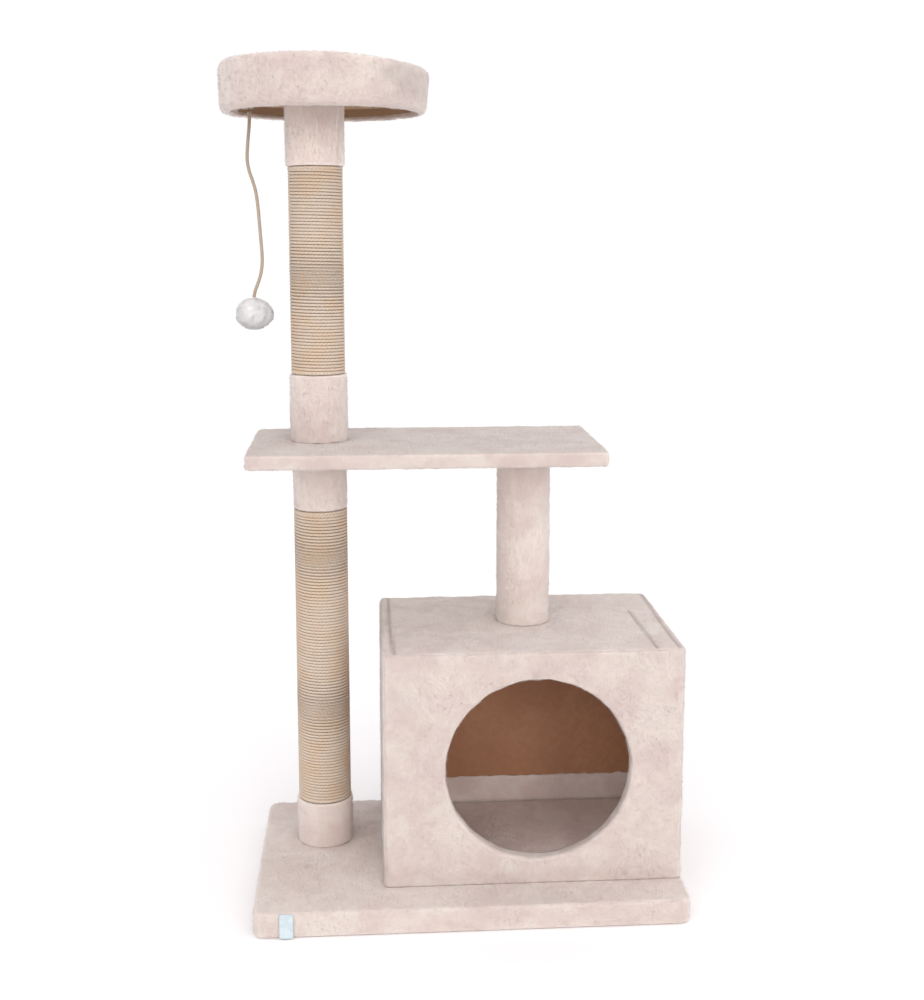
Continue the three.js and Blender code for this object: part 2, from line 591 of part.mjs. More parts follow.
function shelfStud() {
  return rod(POST.x, POST.y, BOLT_RADIUS, SHELF_BOTTOM - BOLT_GRIP, SHELF_TOP + BOLT_GRIP);
}

function shelfBolt() {
  const seat = SHELF_BOARD_TOP - SHELF_COUNTERBORE_DEPTH + GAP;
  const length = seat - SHELF_BOTTOM + BOLT_GRIP;
  return bolt(SHORT_POST.x, SHORT_POST.y, seat, length, FLAT_HEAD_HEIGHT, WASHER_RADIUS, -1);
}

addPiece('shelf_board', chipboard, shelfBoard());
addPiece('shelf_cover', plush, shelfCover());
addPiece('shelf_stud', steel, shelfStud());
addPiece('shelf_bolt', steel, shelfBolt());

// ---------------------------------------------------------------- bed

// A quarter turn of a rounded edge, as [radius, height] points round the corner's centre.
function quarterTurn(radius, height, rounding, startAngle) {
  const step = Math.PI / 2 / CURVE_SEGMENTS;
  const angles = Array.from({ length: CURVE_SEGMENTS + 1 }, (_, i) => startAngle + i * step);
  return angles.map((angle) => [
    radius + rounding * Math.cos(angle),
    height + rounding * Math.sin(angle),
  ]);
}

// The padded rim: a rounded band over the hoop, with a short lip turned in under the hoop's lower edge.
function bedRimCover() {
  const outer = BED_RADIUS - BED_RIM_ROUNDING;
  const inner = BED_INSIDE_RADIUS + BED_RIM_ROUNDING;
  const low = BED_BOTTOM + BED_RIM_ROUNDING;
  const high = BED_TOP - BED_RIM_ROUNDING;
  const section = [
    ...quarterTurn(outer, low, BED_RIM_ROUNDING, -Math.PI / 2),
    ...quarterTurn(outer, high, BED_RIM_ROUNDING, 0),
    ...quarterTurn(inner, high, BED_RIM_ROUNDING, Math.PI / 2),
    ...quarterTurn(inner, low, BED_RIM_ROUNDING, Math.PI),
  ];
  section.push(section[0]);
  const band = turned(BED.x, BED.y, section);
  const z0 = BED_BOTTOM + HOOP_LOWER_EDGE - GAP;
  const z1 = BED_TOP - HOOP_UPPER_EDGE + GAP;
  const hoopRoom = tube(BED.x, BED.y, HOOP_INSIDE_RADIUS - GAP, HOOP_OUTSIDE_RADIUS + GAP, z0, z1);
  const boardRoom = rod(BED.x, BED.y, HOOP_INSIDE_RADIUS, z0, BED_BOARD_TOP + GAP, ROUND_SIDES);
  const opening = [HOOP_INSIDE_RADIUS - RIM_LIP, BED_BOTTOM - PAST, z0 + GAP];
  return cut(band, [hoopRoom, boardRoom, rod(BED.x, BED.y, ...opening, ROUND_SIDES)]);
}

function bedHoop() {
  const z0 = BED_BOTTOM + HOOP_LOWER_EDGE;
  const z1 = BED_TOP - HOOP_UPPER_EDGE;
  return tube(BED.x, BED.y, HOOP_INSIDE_RADIUS, HOOP_OUTSIDE_RADIUS, z0, z1);
}

function staplePlaces() {
  return [TOY.y - STAPLE_WIDTH / 2, TOY.y + STAPLE_WIDTH / 2];
}

function bedBoard() {
  const board = rod(BED.x, BED.y, HOOP_INSIDE_RADIUS - GAP, BED_BOARD_BOTTOM, BED_BOARD_TOP, ROUND_SIDES);
  const boltHole = rod(POST.x, POST.y, BOLT_HOLE_RADIUS, BED_BOARD_BOTTOM - PAST, BED_BOARD_TOP);
  const headSeat = BED_BOARD_TOP - BED_COUNTERBORE_DEPTH;
  const headRoom = rod(POST.x, POST.y, COUNTERBORE_RADIUS, headSeat, BED_BOARD_TOP + PAST);
  const legTop = BED_BOARD_BOTTOM + STAPLE_BITE + GAP;
  const legHole = STAPLE_WIRE_RADIUS + GAP;
  const legs = staplePlaces().map((y) => rod(TOY.x, y, legHole, BED_BOTTOM, legTop));
  return cut(board, [boltHole, headRoom, ...legs]);
}

function bedPad() {
  const radius = BED_INSIDE_RADIUS - GAP;
  const z0 = BED_BOARD_TOP + GAP;
  const rounding = BED_PAD_THICKNESS / 3;
  const top = quarterTurn(radius - rounding, z0 + BED_PAD_THICKNESS - rounding, rounding, 0);
  return turned(BED.x, BED.y, [[0, z0], [radius, z0], ...top, [0, z0 + BED_PAD_THICKNESS]]);
}

addPiece('bed_board', chipboard, bedBoard());
addPiece('bed_hoop', chipboard, bedHoop());
addPiece('bed_rim_cover', plush, bedRimCover());
addPiece('bed_pad', plushInside, bedPad());

const BED_WASHER_BOTTOM = BED_BOARD_TOP - BED_COUNTERBORE_DEPTH + GAP;
const BED_BOLT_SEAT = BED_WASHER_BOTTOM + WASHER_THICKNESS + GAP;
const BED_BOLT_LENGTH = BED_BOLT_SEAT - BED_BOARD_BOTTOM + BOLT_GRIP;

function bedBolt() {
  return bolt(POST.x, POST.y, BED_BOLT_SEAT, BED_BOLT_LENGTH, BOLT_HEAD_HEIGHT, BOLT_HEAD_RADIUS, -1);
}

addPiece('bed_washer', steel, washer(POST.x, POST.y, BED_WASHER_BOTTOM));
addPiece('bed_bolt', steel, bedBolt());

// ---------------------------------------------------------------- toy

function toyStaple() {
  const [y0, y1] = staplePlaces();
  const top = BED_BOARD_BOTTOM + STAPLE_BITE;
  const crownBottom = STAPLE_CROWN - STAPLE_WIRE_RADIUS;
  const legs = [y0, y1].map((y) => rod(TOY.x, y, STAPLE_WIRE_RADIUS, crownBottom, top, CORD_SIDES));
  const crown = rodAlongY(TOY.x, STAPLE_CROWN, STAPLE_WIRE_RADIUS, y0, y1, CORD_SIDES);
  return join([crown, ...legs]);
}

// The loop hangs on the staple's crown, in the plane that the crown crosses.
function toyLoop() {
  const geometry = new THREE.TorusGeometry(LOOP_RADIUS, LOOP_STRING_RADIUS, CORD_SIDES, SMALL_SIDES);
  geometry.rotateX(Math.PI / 2);
  geometry.translate(TOY.x, TOY.y, LOOP_CENTRE);
  return solid(geometry);
}

function ball(x, z, radius, flatness, sides) {
  const geometry = new THREE.SphereGeometry(radius, sides, sides / 2);
  geometry.rotateX(Math.PI / 2);
  geometry.scale(1, 1, flatness);
  geometry.translate(x, TOY.y, z);
  return solid(geometry);
}

function toyCord() {
  const points = CORD_ROUTE.map(([dx, dz]) => new THREE.Vector3(TOY.x + dx, TOY.y, CORD_START + dz));
  const section = new THREE.Shape();
  section.absarc(0, 0, CORD_DIAMETER / 2, 0, Math.PI * 2);
  return new THREE.ExtrudeGeometry(section, {
    extrudePath: new THREE.CatmullRomCurve3(points),
    steps: CORD_STEPS,
    curveSegments: CORD_SIDES,
    bevelEnabled: false,
  });
}

addPiece('toy_staple', steel, toyStaple());
addPiece('toy_loop', sisal, toyLoop());
addPiece('toy_knot', sisal, ball(TOY.x, KNOT_CENTRE, KNOT_RADIUS, 1, SMALL_SIDES));
addPiece('toy_cord', sisal, solid(toyCord()));
const POMPOM_X = TOY.x + CORD_ROUTE.at(-1)[0];
addPiece('toy_pompom', yarn, ball(POMPOM_X, POMPOM_CENTRE, POMPOM_RADIUS, POMPOM_FLATNESS, BALL_SIDES));

export default tree;
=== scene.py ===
"""Finishes for the plush cat tree: its covers, rope, bed, toy and studio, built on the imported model."""

import math

import bmesh
import bpy
import numpy as np
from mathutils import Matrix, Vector, noise


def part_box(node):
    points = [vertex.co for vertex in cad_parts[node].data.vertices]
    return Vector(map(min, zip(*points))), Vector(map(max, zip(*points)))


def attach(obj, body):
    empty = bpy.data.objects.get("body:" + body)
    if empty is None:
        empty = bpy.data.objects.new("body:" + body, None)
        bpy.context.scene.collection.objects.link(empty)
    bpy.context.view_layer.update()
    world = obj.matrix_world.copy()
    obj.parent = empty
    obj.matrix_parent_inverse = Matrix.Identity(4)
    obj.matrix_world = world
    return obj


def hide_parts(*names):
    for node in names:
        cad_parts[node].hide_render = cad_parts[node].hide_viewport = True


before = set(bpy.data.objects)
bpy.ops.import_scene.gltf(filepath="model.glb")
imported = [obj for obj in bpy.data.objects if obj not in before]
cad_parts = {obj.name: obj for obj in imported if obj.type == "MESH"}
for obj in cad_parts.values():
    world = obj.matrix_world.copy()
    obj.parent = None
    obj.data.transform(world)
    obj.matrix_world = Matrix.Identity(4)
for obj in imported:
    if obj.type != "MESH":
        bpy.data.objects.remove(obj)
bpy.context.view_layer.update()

bl_info = {
    "name": "Cat Tree Finishes",
    "version": (1, 0, 0),
    "blender": (4, 5, 0),
    "location": "3D View > Sidebar > Cat Tree",
    "description": "Plush covers, sisal windings, bed, toy and fittings of a cat tree",
    "category": "Object",
}

MM = 0.001
DOOR = (0.091, 0.195, 0.124)  # the doorway's middle across and up, and its radius
PRESSED_SPOT = (-0.222, -0.045)  # a small dent in the pile of the base's top, across and back
TURNED_UNDER = 35 * MM  # how far the base's plush goes in under the board
HEM_HEIGHT = 40.6 * MM  # the fabric turned up inside the box, above the base's top
HEM_PAINTED_LIGHT = -0.85  # painted light: how much paler the hem inside the box is made, as a seam level below nothing
SLEEVE_CORE = 33.3 * MM  # the inside of a sleeve, just off the card tube
WINDING_SIDES = 7  # flats round the sisal rope's section
CLOTH_FRAMES = 20  # how long the filling swells

# ---------------------------------------------------------------------------------------------
# Sizes and colours a user would change


class CAT_TREE_PG_stage(bpy.types.PropertyGroup):
    """The studio: camera, lights and floor"""

    camera_place: bpy.props.FloatVectorProperty(
        name="Camera",
        description="Where the camera stands",
        default=(-0.13337, -1.83454, 0.90924),
        subtype="TRANSLATION",
        unit="LENGTH",
    )
    camera_turn: bpy.props.FloatProperty(
        name="Turn",
        description="How far the camera looks to the right of straight ahead",
        default=0.0703,
        subtype="ANGLE",
    )
    camera_dip: bpy.props.FloatProperty(
        name="Dip",
        description="How far the camera looks down",
        default=0.153,
        subtype="ANGLE",
    )
    lens: bpy.props.FloatProperty(
        name="Lens", description="Focal length in millimetres", default=48.96, min=10.0
    )
    key_power: bpy.props.FloatProperty(
        name="Key", description="Strength of the front light", default=0.45, min=0.0
    )
    fill_power: bpy.props.FloatProperty(
        name="Fill", description="Strength of the upper light", default=0.45, min=0.0
    )
    sky: bpy.props.FloatProperty(
        name="Room", description="Light from the white room around", default=0.87, min=0.0
    )
    floor_colour: bpy.props.FloatVectorProperty(
        name="Floor",
        description="Colour of the floor",
        default=(0.93, 0.93, 0.93),
        subtype="COLOR",
        size=3,
    )


class CAT_TREE_PG_plush(bpy.types.PropertyGroup):
    """The short pile fabric on the boards and posts"""

    pile: bpy.props.FloatProperty(
        name="Pile", description="Length of a tuft", default=3.4 * MM, unit="LENGTH"
    )
    tuft: bpy.props.FloatProperty(
        name="Tuft", description="Width of a tuft at its root", default=0.75 * MM, unit="LENGTH"
    )
    sunk: bpy.props.FloatProperty(
        name="Backing",
        description="Depth of the fabric's backing under the tips of the pile",
        default=1.3 * MM,
        unit="LENGTH",
    )
    tufts: bpy.props.FloatProperty(
        name="Tufts", description="Tufts on each square metre", default=130000.0, min=100.0
    )
    lump: bpy.props.FloatProperty(
        name="Lumps",
        description="Height of the soft unevenness of the fabric",
        default=1.5 * MM,
        unit="LENGTH",
    )
    grid: bpy.props.FloatProperty(
        name="Grid", description="Side of a face of the backing", default=6.0 * MM, unit="LENGTH"
    )
    light: bpy.props.FloatVectorProperty(
        name="Light",
        description="Colour of the tips of the pile",
        default=(0.65, 0.588, 0.54),
        subtype="COLOR",
        size=3,
    )
    shade: bpy.props.FloatVectorProperty(
        name="Shade",
        description="Colour of the pile where it is brushed away",
        default=(0.585, 0.495, 0.462),
        subtype="COLOR",
        size=3,
    )


class CAT_TREE_PG_rope(bpy.types.PropertyGroup):
    """The sisal wound round the long post"""

    thickness: bpy.props.FloatProperty(
        name="Rope", description="Thickness of the rope", default=4.2 * MM, unit="LENGTH"
    )
    pitch: bpy.props.FloatProperty(
        name="Pitch", description="Height of one turn", default=4.35 * MM, unit="LENGTH"
    )
    steps: bpy.props.IntProperty(
        name="Steps", description="Straight stretches in one turn", default=64, min=24
    )
    light: bpy.props.FloatVectorProperty(
        name="Light",
        description="Colour of the fibres in the light",
        default=(0.69, 0.595, 0.495),
        subtype="COLOR",
        size=3,
    )
    # painted shade: the colour laid in the crevices between the plies; the fibres' own tone also mixes
    # towards it
    dark: bpy.props.FloatVectorProperty(
        name="Dark",
        description="Colour between the plies",
        default=(0.36, 0.245, 0.16),
        subtype="COLOR",
        size=3,
    )


class CAT_TREE_PG_bed(bpy.types.PropertyGroup):
    """The round bed on top"""

    sag: bpy.props.FloatProperty(
        name="Sag", description="How far the rim droops on one side", default=10 * MM, unit="LENGTH"
    )
    swell: bpy.props.FloatProperty(
        name="Swell", description="Most that the filling swells", default=4 * MM, unit="LENGTH"
    )
    crown: bpy.props.FloatProperty(
        name="Crown", description="Height of the pad's middle", default=7 * MM, unit="LENGTH"
    )


class CAT_TREE_PG_toy(bpy.types.PropertyGroup):
    """The pompom on its string"""

    string: bpy.props.FloatProperty(
        name="String", description="Thickness of the string", default=4.6 * MM, unit="LENGTH"
    )
    strands: bpy.props.IntProperty(
        name="Strands", description="Ends of yarn on the pompom", default=5200, min=200
    )
    yarn: bpy.props.FloatVectorProperty(
        name="Yarn",
        description="Colour of the yarn",
        default=(0.97, 0.97, 0.965),
        subtype="COLOR",
        size=3,
    )


def settings(part):
    """The scene's settings for one part of the tree."""
    return getattr(bpy.context.scene, "cat_tree_" + part)


# ---------------------------------------------------------------------------------------------
# Node trees


class Wiring:
    """Adds nodes to a tree and wires them as it goes."""

    def __init__(self, tree):
        self.tree = tree

    def add(self, kind, inputs=None, **options):
        node = self.tree.nodes.new(kind)
        for key, value in options.items():
            setattr(node, key, value)
        for key, value in (inputs or {}).items():
            self.feed(node.inputs[key], value)
        return node

    def feed(self, socket, value):
        if isinstance(value, bpy.types.NodeSocket):
            self.tree.links.new(value, socket)
        else:
            socket.default_value = value

    def maths(self, operation, first, second=0.0, third=0.0):
        kind = "ShaderNodeMath"
        return self.add(kind, {0: first, 1: second, 2: third}, operation=operation).outputs[0]

    def vector(self, operation, first, second=(0.0, 0.0, 0.0)):
        kind = "ShaderNodeVectorMath"
        return self.add(kind, {0: first, 1: second}, operation=operation).outputs[0]

    def scaled(self, vector, amount):
        node = self.add("ShaderNodeVectorMath", {0: vector}, operation="SCALE")
        self.feed(node.inputs["Scale"], amount)
        return node.outputs[0]

    def ramp(self, value, low, high, out_low=0.0, out_high=1.0, smooth=True):
        inputs = {"Value": value, "From Min": low, "From Max": high}
        inputs.update({"To Min": out_low, "To Max": out_high})
        kind = "SMOOTHSTEP" if smooth else "LINEAR"
        return self.add("ShaderNodeMapRange", inputs, interpolation_type=kind).outputs[0]

    def mixed(self, amount, first, second, way="MIX"):
        kind = "ShaderNodeMix"
        node = self.add(kind, {0: amount, 6: first, 7: second}, data_type="RGBA", blend_type=way)
        return node.outputs[2]

    def noise(self, place, scale, detail=2.0, rough=0.5, bend=0.0):
        inputs = {"Vector": place, "Scale": scale, "Detail": detail}
        inputs.update({"Roughness": rough, "Distortion": bend})
        return self.add("ShaderNodeTexNoise", inputs)


SOCKETS = {
    "value": "NodeSocketFloat",
    "colour": "NodeSocketColor",
    "vector": "NodeSocketVector",
    "geometry": "NodeSocketGeometry",
    "material": "NodeSocketMaterial",
    "whole": "NodeSocketInt",
}


def new_tree(name, kind, takes, gives):
    """An empty node tree with named inputs and outputs, and its two ends."""
    tree = bpy.data.node_groups.new(name, kind)
    for word, what in takes.items():
        tree.interface.new_socket(name=word, in_out="INPUT", socket_type=SOCKETS[what])
    for word, what in gives.items():
        tree.interface.new_socket(name=word, in_out="OUTPUT", socket_type=SOCKETS[what])
    w = Wiring(tree)
    start = w.add("NodeGroupInput").outputs
    end = w.add("NodeGroupOutput").inputs
    return tree, w, start, end


def plush_colours():
    """Colour and height of pile: brushed patches, flecks, painted shade at the roots, and seams with the
    painted light and shade that the seam level also carries.
    """
    takes = {
        "Place": "vector",
        "Tip": "value",
        "Fleck": "value",
        "Seam": "value",
        "Light": "colour",
        "Shade": "colour",
        "Patch Size": "value",
        "Shade Share": "value",
    }
    gives = {"Colour": "colour", "Height": "value"}
    tree, w, start, end = new_tree("Plush colours", "ShaderNodeTree", takes, gives)
    wide = w.maths("DIVIDE", 1.0, start["Patch Size"])
    patches = w.noise(start["Place"], wide, 3.0, 0.55, 0.6).outputs["Fac"]
    small = w.noise(start["Place"], w.maths("MULTIPLY", wide, 5.5), 2.0, 0.6).outputs["Fac"]
    level = w.maths("ADD", patches, w.maths("MULTIPLY", small, 0.25))
    level = w.maths("SUBTRACT", level, 0.125)
    low = w.maths("SUBTRACT", 0.92, start["Shade Share"])
    brushed = w.ramp(level, w.maths("SUBTRACT", low, 0.22), w.maths("ADD", low, 0.22))
    colour = w.mixed(brushed, start["Light"], start["Shade"])
    fine = w.noise(start["Place"], 620.0, 1.0).outputs["Fac"]
    fleck = w.ramp(start["Fleck"], 0.0, 1.0, 0.97, 1.02, False)
    fleck = w.maths("MULTIPLY", fleck, w.ramp(fine, 0.3, 0.7, 0.97, 1.02))
    # painted shade: the roots of the tufts are darker, standing in for the shade between them
    painted_root_shade = w.ramp(start["Tip"], 0.0, 0.5, 0.92, 1.0)
    # above nothing the seam level darkens real seams and painted shade; below nothing it pales the pile
    # as painted light
    seam = w.ramp(start["Seam"], -1.0, 1.0, 1.45, 0.55, False)
    grade = w.maths("MULTIPLY", w.maths("MULTIPLY", fleck, painted_root_shade), seam)
    grey = w.add("ShaderNodeCombineColor", {0: grade, 1: grade, 2: grade}).outputs[0]
    w.feed(end["Colour"], w.mixed(1.0, colour, grey, "MULTIPLY"))
    w.feed(end["Height"], w.maths("ADD", fine, w.maths("MULTIPLY", small, 0.5)))
    return tree


def rope_colours():
    """Colour and height of a twisted rope, from how far along and how far round it a point is."""
    takes = {
        "Place": "vector",
        "Along": "value",
        "Around": "value",
        "Lay Length": "value",
        "Plies": "value",
        "Out": "value",
        "Light": "colour",
        "Dark": "colour",
    }
    gives = {"Colour": "colour", "Height": "value"}
    tree, w, start, end = new_tree("Rope colours", "ShaderNodeTree", takes, gives)
    turns = w.maths("DIVIDE", start["Along"], start["Lay Length"])
    phase = w.maths("ADD", turns, start["Around"])
    phase = w.maths("MULTIPLY", phase, start["Plies"])
    saw = w.maths("FRACT", phase)
    ridge = w.maths("SINE", w.maths("MULTIPLY", saw, math.pi))
    fibres = w.add("ShaderNodeCombineXYZ")
    w.feed(fibres.inputs[0], w.maths("MULTIPLY", start["Along"], 260.0))
    w.feed(fibres.inputs[1], w.maths("MULTIPLY", phase, 4.0))
    hair = w.noise(fibres.outputs[0], 1.0, 3.0, 0.65).outputs["Fac"]
    cloud = w.noise(start["Place"], 34.0, 2.0).outputs["Fac"]
    # painted shade: darker in the crevices between the plies, and by Out in the grooves between turns on
    # a post; the hair noise varies the fibres' own tone
    level = w.maths("MULTIPLY", w.ramp(ridge, 0.0, 0.7, 0.6, 1.0), w.ramp(hair, 0.25, 0.7, 0.6, 1.0))
    level = w.maths("MULTIPLY", level, start["Out"])
    colour = w.mixed(level, start["Dark"], start["Light"])
    pale = w.mixed(w.ramp(cloud, 0.35, 0.7), colour, (1.0, 0.93, 0.84, 1.0), "MULTIPLY")
    w.feed(end["Colour"], pale)
    w.feed(end["Height"], w.maths("ADD", ridge, w.maths("MULTIPLY", hair, 0.4)))
    return tree


def chip_colours():
    """Colour and height of pressed wood: flat chips of two tones under a fine grain."""
    takes = {
        "Place": "vector",
        "Chip Size": "value",
        "Light": "colour",
        "Dark": "colour",
        "Contrast": "value",
    }
    gives = {"Colour": "colour", "Height": "value"}
    tree, w, start, end = new_tree("Pressed wood", "ShaderNodeTree", takes, gives)
    wide = w.maths("DIVIDE", 1.0, start["Chip Size"])
    bent = w.noise(start["Place"], wide, 2.0)
    bent = w.vector("ADD", start["Place"], w.scaled(bent.outputs["Color"], 0.004))
    chips = w.add("ShaderNodeTexVoronoi", {"Vector": bent, "Scale": wide})
    tone = w.add("ShaderNodeSeparateColor", {0: chips.outputs["Color"]}).outputs[0]
    grain = w.noise(start["Place"], w.maths("MULTIPLY", wide, 4.0), 4.0, 0.6).outputs["Fac"]
    stain = w.noise(start["Place"], 7.0, 3.0).outputs["Fac"]
    level = w.maths("ADD", w.maths("MULTIPLY", tone, 0.5), w.maths("MULTIPLY", grain, 0.55))
    level = w.maths("MULTIPLY", level, start["Contrast"])
    colour = w.mixed(level, start["Light"], start["Dark"])
    colour = w.mixed(w.ramp(stain, 0.4, 0.7, 0.0, 0.5), colour, start["Dark"])
    w.feed(end["Colour"], colour)
    w.feed(end["Height"], grain)
    return tree


def wear_mask():
    """A mask of scuffs and dull marks for metal, card and cloth."""
    takes = {"Place": "vector", "Mark Size": "value", "Share": "value"}
    gives = {"Mask": "value"}
    tree, w, start, end = new_tree("Wear", "ShaderNodeTree", takes, gives)
    wide = w.maths("DIVIDE", 1.0, start["Mark Size"])
    marks = w.noise(start["Place"], wide, 5.0, 0.65, 0.8).outputs["Fac"]
    edge = w.maths("SUBTRACT", 0.8, start["Share"])
    low = w.maths("SUBTRACT", edge, 0.12)
    w.feed(end["Mask"], w.ramp(marks, low, w.maths("ADD", edge, 0.12)))
    return tree


def group(name, maker):
    """The shared node group of that name, made the first time it is asked for."""
    return bpy.data.node_groups.get(name) or maker()


def solid(values):
    """A colour with its alpha."""
    return (*values[:3], 1.0)


def start_material(name, roughness, sheen=0.0, metallic=0.0, sheen_tint=None):
    """A new material with a plain shader, its wiring and its Object coordinates."""
    mat = bpy.data.materials.new(name)
    mat.use_nodes = True
    w = Wiring(mat.node_tree)
    mat.node_tree.nodes.clear()
    surface = w.add("ShaderNodeBsdfPrincipled")
    surface.inputs["Roughness"].default_value = roughness
    surface.inputs["Metallic"].default_value = metallic
    surface.inputs["Sheen Weight"].default_value = sheen
    surface.inputs["Sheen Roughness"].default_value = 0.55
    if sheen_tint:
        surface.inputs["Sheen Tint"].default_value = solid(sheen_tint)
    out = w.add("ShaderNodeOutputMaterial")
    w.feed(out.inputs["Surface"], surface.outputs[0])
    place = w.add("ShaderNodeTexCoord").outputs["Object"]
    return mat, w, surface, place


def use_group(w, name, maker, inputs):
    """A shared group placed in a material with its own values."""
    node = w.add("ShaderNodeGroup", node_tree=group(name, maker))
    for key, value in inputs.items():
        w.feed(node.inputs[key], value)
    return node.outputs


def bumped(w, surface, height, strength, depth, facing=None):
    """Feeds a height into the shader's normal."""
    node = w.add("ShaderNodeBump", {"Strength": strength, "Distance": depth, "Height": height})
    if facing:
        w.feed(node.inputs["Normal"], facing)
    w.feed(surface.inputs["Normal"], node.outputs[0])


def pile_facing(w, share):
    """The way the cloth under the pile faces, mixed with each tuft's own way of facing."""
    held = w.add("ShaderNodeAttribute", attribute_name="facing").outputs["Vector"]
    turn = w.add("ShaderNodeVectorTransform", {0: held}, vector_type="NORMAL")
    turn.convert_from = "OBJECT"
    turn.convert_to = "WORLD"
    own = w.add("ShaderNodeNewGeometry").outputs["Normal"]
    both = w.vector("ADD", w.scaled(turn.outputs[0], share), w.scaled(own, 1.0 - share))
    return w.vector("NORMALIZE", both)


def attribute(w, name):
    return w.add("ShaderNodeAttribute", attribute_name=name).outputs["Fac"]


def plush_material(name, light, shade, patch=0.05, share=0.42):
    mat, w, surface, place = start_material(name, 0.95, 0.1, 0.0, (1.0, 0.9, 0.84))
    inputs = {"Place": place, "Tip": attribute(w, "tip"), "Fleck": attribute(w, "fleck")}
    # the seam attribute holds real seams together with painted light and painted shade
    inputs.update({"Seam": attribute(w, "seam"), "Light": solid(light), "Shade": solid(shade)})
    inputs.update({"Patch Size": patch, "Shade Share": share})
    made = use_group(w, "Plush colours", plush_colours, inputs)
    w.feed(surface.inputs["Base Color"], made["Colour"])
    surface.inputs["Specular IOR Level"].default_value = 0.15
    surface.inputs["Subsurface Weight"].default_value = 1.0
    surface.inputs["Subsurface Radius"].default_value = (1.0, 1.0, 1.0)
    surface.inputs["Subsurface Scale"].default_value = 0.0012
    bumped(w, surface, made["Height"], 0.45, 0.0007, pile_facing(w, 0.85))
    return mat


def rope_material(name, light, dark, lay=0.016, plies=3.0, wound_on=None):
    """Twisted rope with painted shade between its plies; where it is wound on a post, painted shade also
    darkens the grooves between its turns.
    """
    mat, w, surface, place = start_material(name, 0.82, 0.12)
    inputs = {"Place": place, "Along": attribute(w, "along"), "Around": attribute(w, "around")}
    inputs.update({"Lay Length": lay, "Plies": plies, "Light": solid(light)})
    inputs["Dark"] = solid(dark)
    inputs["Out"] = 1.0
    if wound_on:
        x, y, core, outside = wound_on
        flat = w.vector("MULTIPLY", w.vector("SUBTRACT", place, (x, y, 0.0)), (1.0, 1.0, 0.0))
        away = w.add("ShaderNodeVectorMath", {0: flat}, operation="LENGTH").outputs["Value"]
        # painted shade in the grooves: darker nearer the post's core
        inputs["Out"] = w.ramp(away, core, outside, 0.7, 1.0)
    made = use_group(w, "Rope colours", rope_colours, inputs)
    w.feed(surface.inputs["Base Color"], made["Colour"])
    surface.inputs["Specular IOR Level"].default_value = 0.25
    bumped(w, surface, made["Height"], 0.9, 0.0008)
    return mat


def board_material(name, light, dark, chip=0.006, contrast=0.6, roughness=0.75):
    mat, w, surface, place = start_material(name, roughness)
    inputs = {"Place": place, "Chip Size": chip, "Contrast": contrast}
    inputs.update({"Light": solid(light), "Dark": solid(dark)})
    made = use_group(w, "Pressed wood", chip_colours, inputs)
    w.feed(surface.inputs["Base Color"], made["Colour"])
    marks = use_group(w, "Wear", wear_mask, {"Place": place, "Mark Size": 0.05, "Share": 0.3})
    rough = w.ramp(marks["Mask"], 0.0, 1.0, roughness - 0.1, roughness + 0.12)
    w.feed(surface.inputs["Roughness"], rough)
    bumped(w, surface, made["Height"], 0.3, 0.0005)
    return mat


def steel_material():
    mat, w, surface, place = start_material("Zinc steel", 0.35, 0.0, 1.0)
    marks = use_group(w, "Wear", wear_mask, {"Place": place, "Mark Size": 0.004, "Share": 0.34})
    dull = w.mixed(marks["Mask"], (0.70, 0.71, 0.73, 1.0), (0.47, 0.47, 0.48, 1.0))
    w.feed(surface.inputs["Base Color"], dull)
    w.feed(surface.inputs["Roughness"], w.ramp(marks["Mask"], 0.0, 1.0, 0.27, 0.52))
    fine = w.noise(place, 900.0, 2.0).outputs["Fac"]
    bumped(w, surface, fine, 0.12, 0.0002)
    return mat


def card_material():
    mat, w, surface, place = start_material("Card tube", 0.88)
    stripes = w.add("ShaderNodeTexWave", {"Vector": place, "Scale": 14.0, "Distortion": 1.5})
    stripes.bands_direction = "Z"
    fibre = w.noise(place, 240.0, 4.0, 0.65).outputs["Fac"]
    tone = w.maths("ADD", w.maths("MULTIPLY", stripes.outputs["Fac"], 0.25), fibre)
    ramp = w.ramp(tone, 0.3, 0.95)
    colour = w.mixed(ramp, (0.42, 0.29, 0.18, 1.0), (0.60, 0.45, 0.31, 1.0))
    w.feed(surface.inputs["Base Color"], colour)
    bumped(w, surface, fibre, 0.3, 0.0004)
    return mat


def felt_material():
    mat, w, surface, place = start_material("Felt", 0.98, 0.2)
    fibre = w.noise(place, 900.0, 4.0, 0.7, 1.2).outputs["Fac"]
    marks = use_group(w, "Wear", wear_mask, {"Place": place, "Mark Size": 0.03, "Share": 0.35})
    tone = w.maths("ADD", fibre, w.maths("MULTIPLY", marks["Mask"], 0.25))
    ramp = w.ramp(tone, 0.3, 0.85)
    colour = w.mixed(ramp, (0.09, 0.085, 0.085, 1.0), (0.2, 0.19, 0.185, 1.0))
    w.feed(surface.inputs["Base Color"], colour)
    bumped(w, surface, fibre, 0.5, 0.0005)
    return mat


def label_material():
    mat, w, surface, place = start_material("Label cloth", 0.7, 0.3)
    weave = w.add("ShaderNodeTexWave", {"Vector": place, "Scale": 620.0, "Distortion": 0.4})
    weave.bands_direction = "Z"
    cross = w.add("ShaderNodeTexWave", {"Vector": place, "Scale": 620.0, "Distortion": 0.4})
    height = w.maths("MULTIPLY", weave.outputs["Fac"], cross.outputs["Fac"])
    marks = use_group(w, "Wear", wear_mask, {"Place": place, "Mark Size": 0.012, "Share": 0.3})
    colour = w.mixed(marks["Mask"], (0.56, 0.65, 0.68, 1.0), (0.47, 0.57, 0.60, 1.0))
    # painted shade: darker in the low places of the weave
    colour = w.mixed(w.ramp(height, 0.0, 1.0, 0.25, 0.0), colour, (0.42, 0.52, 0.57, 1.0))
    w.feed(surface.inputs["Base Color"], colour)
    bumped(w, surface, height, 0.4, 0.0002)
    return mat


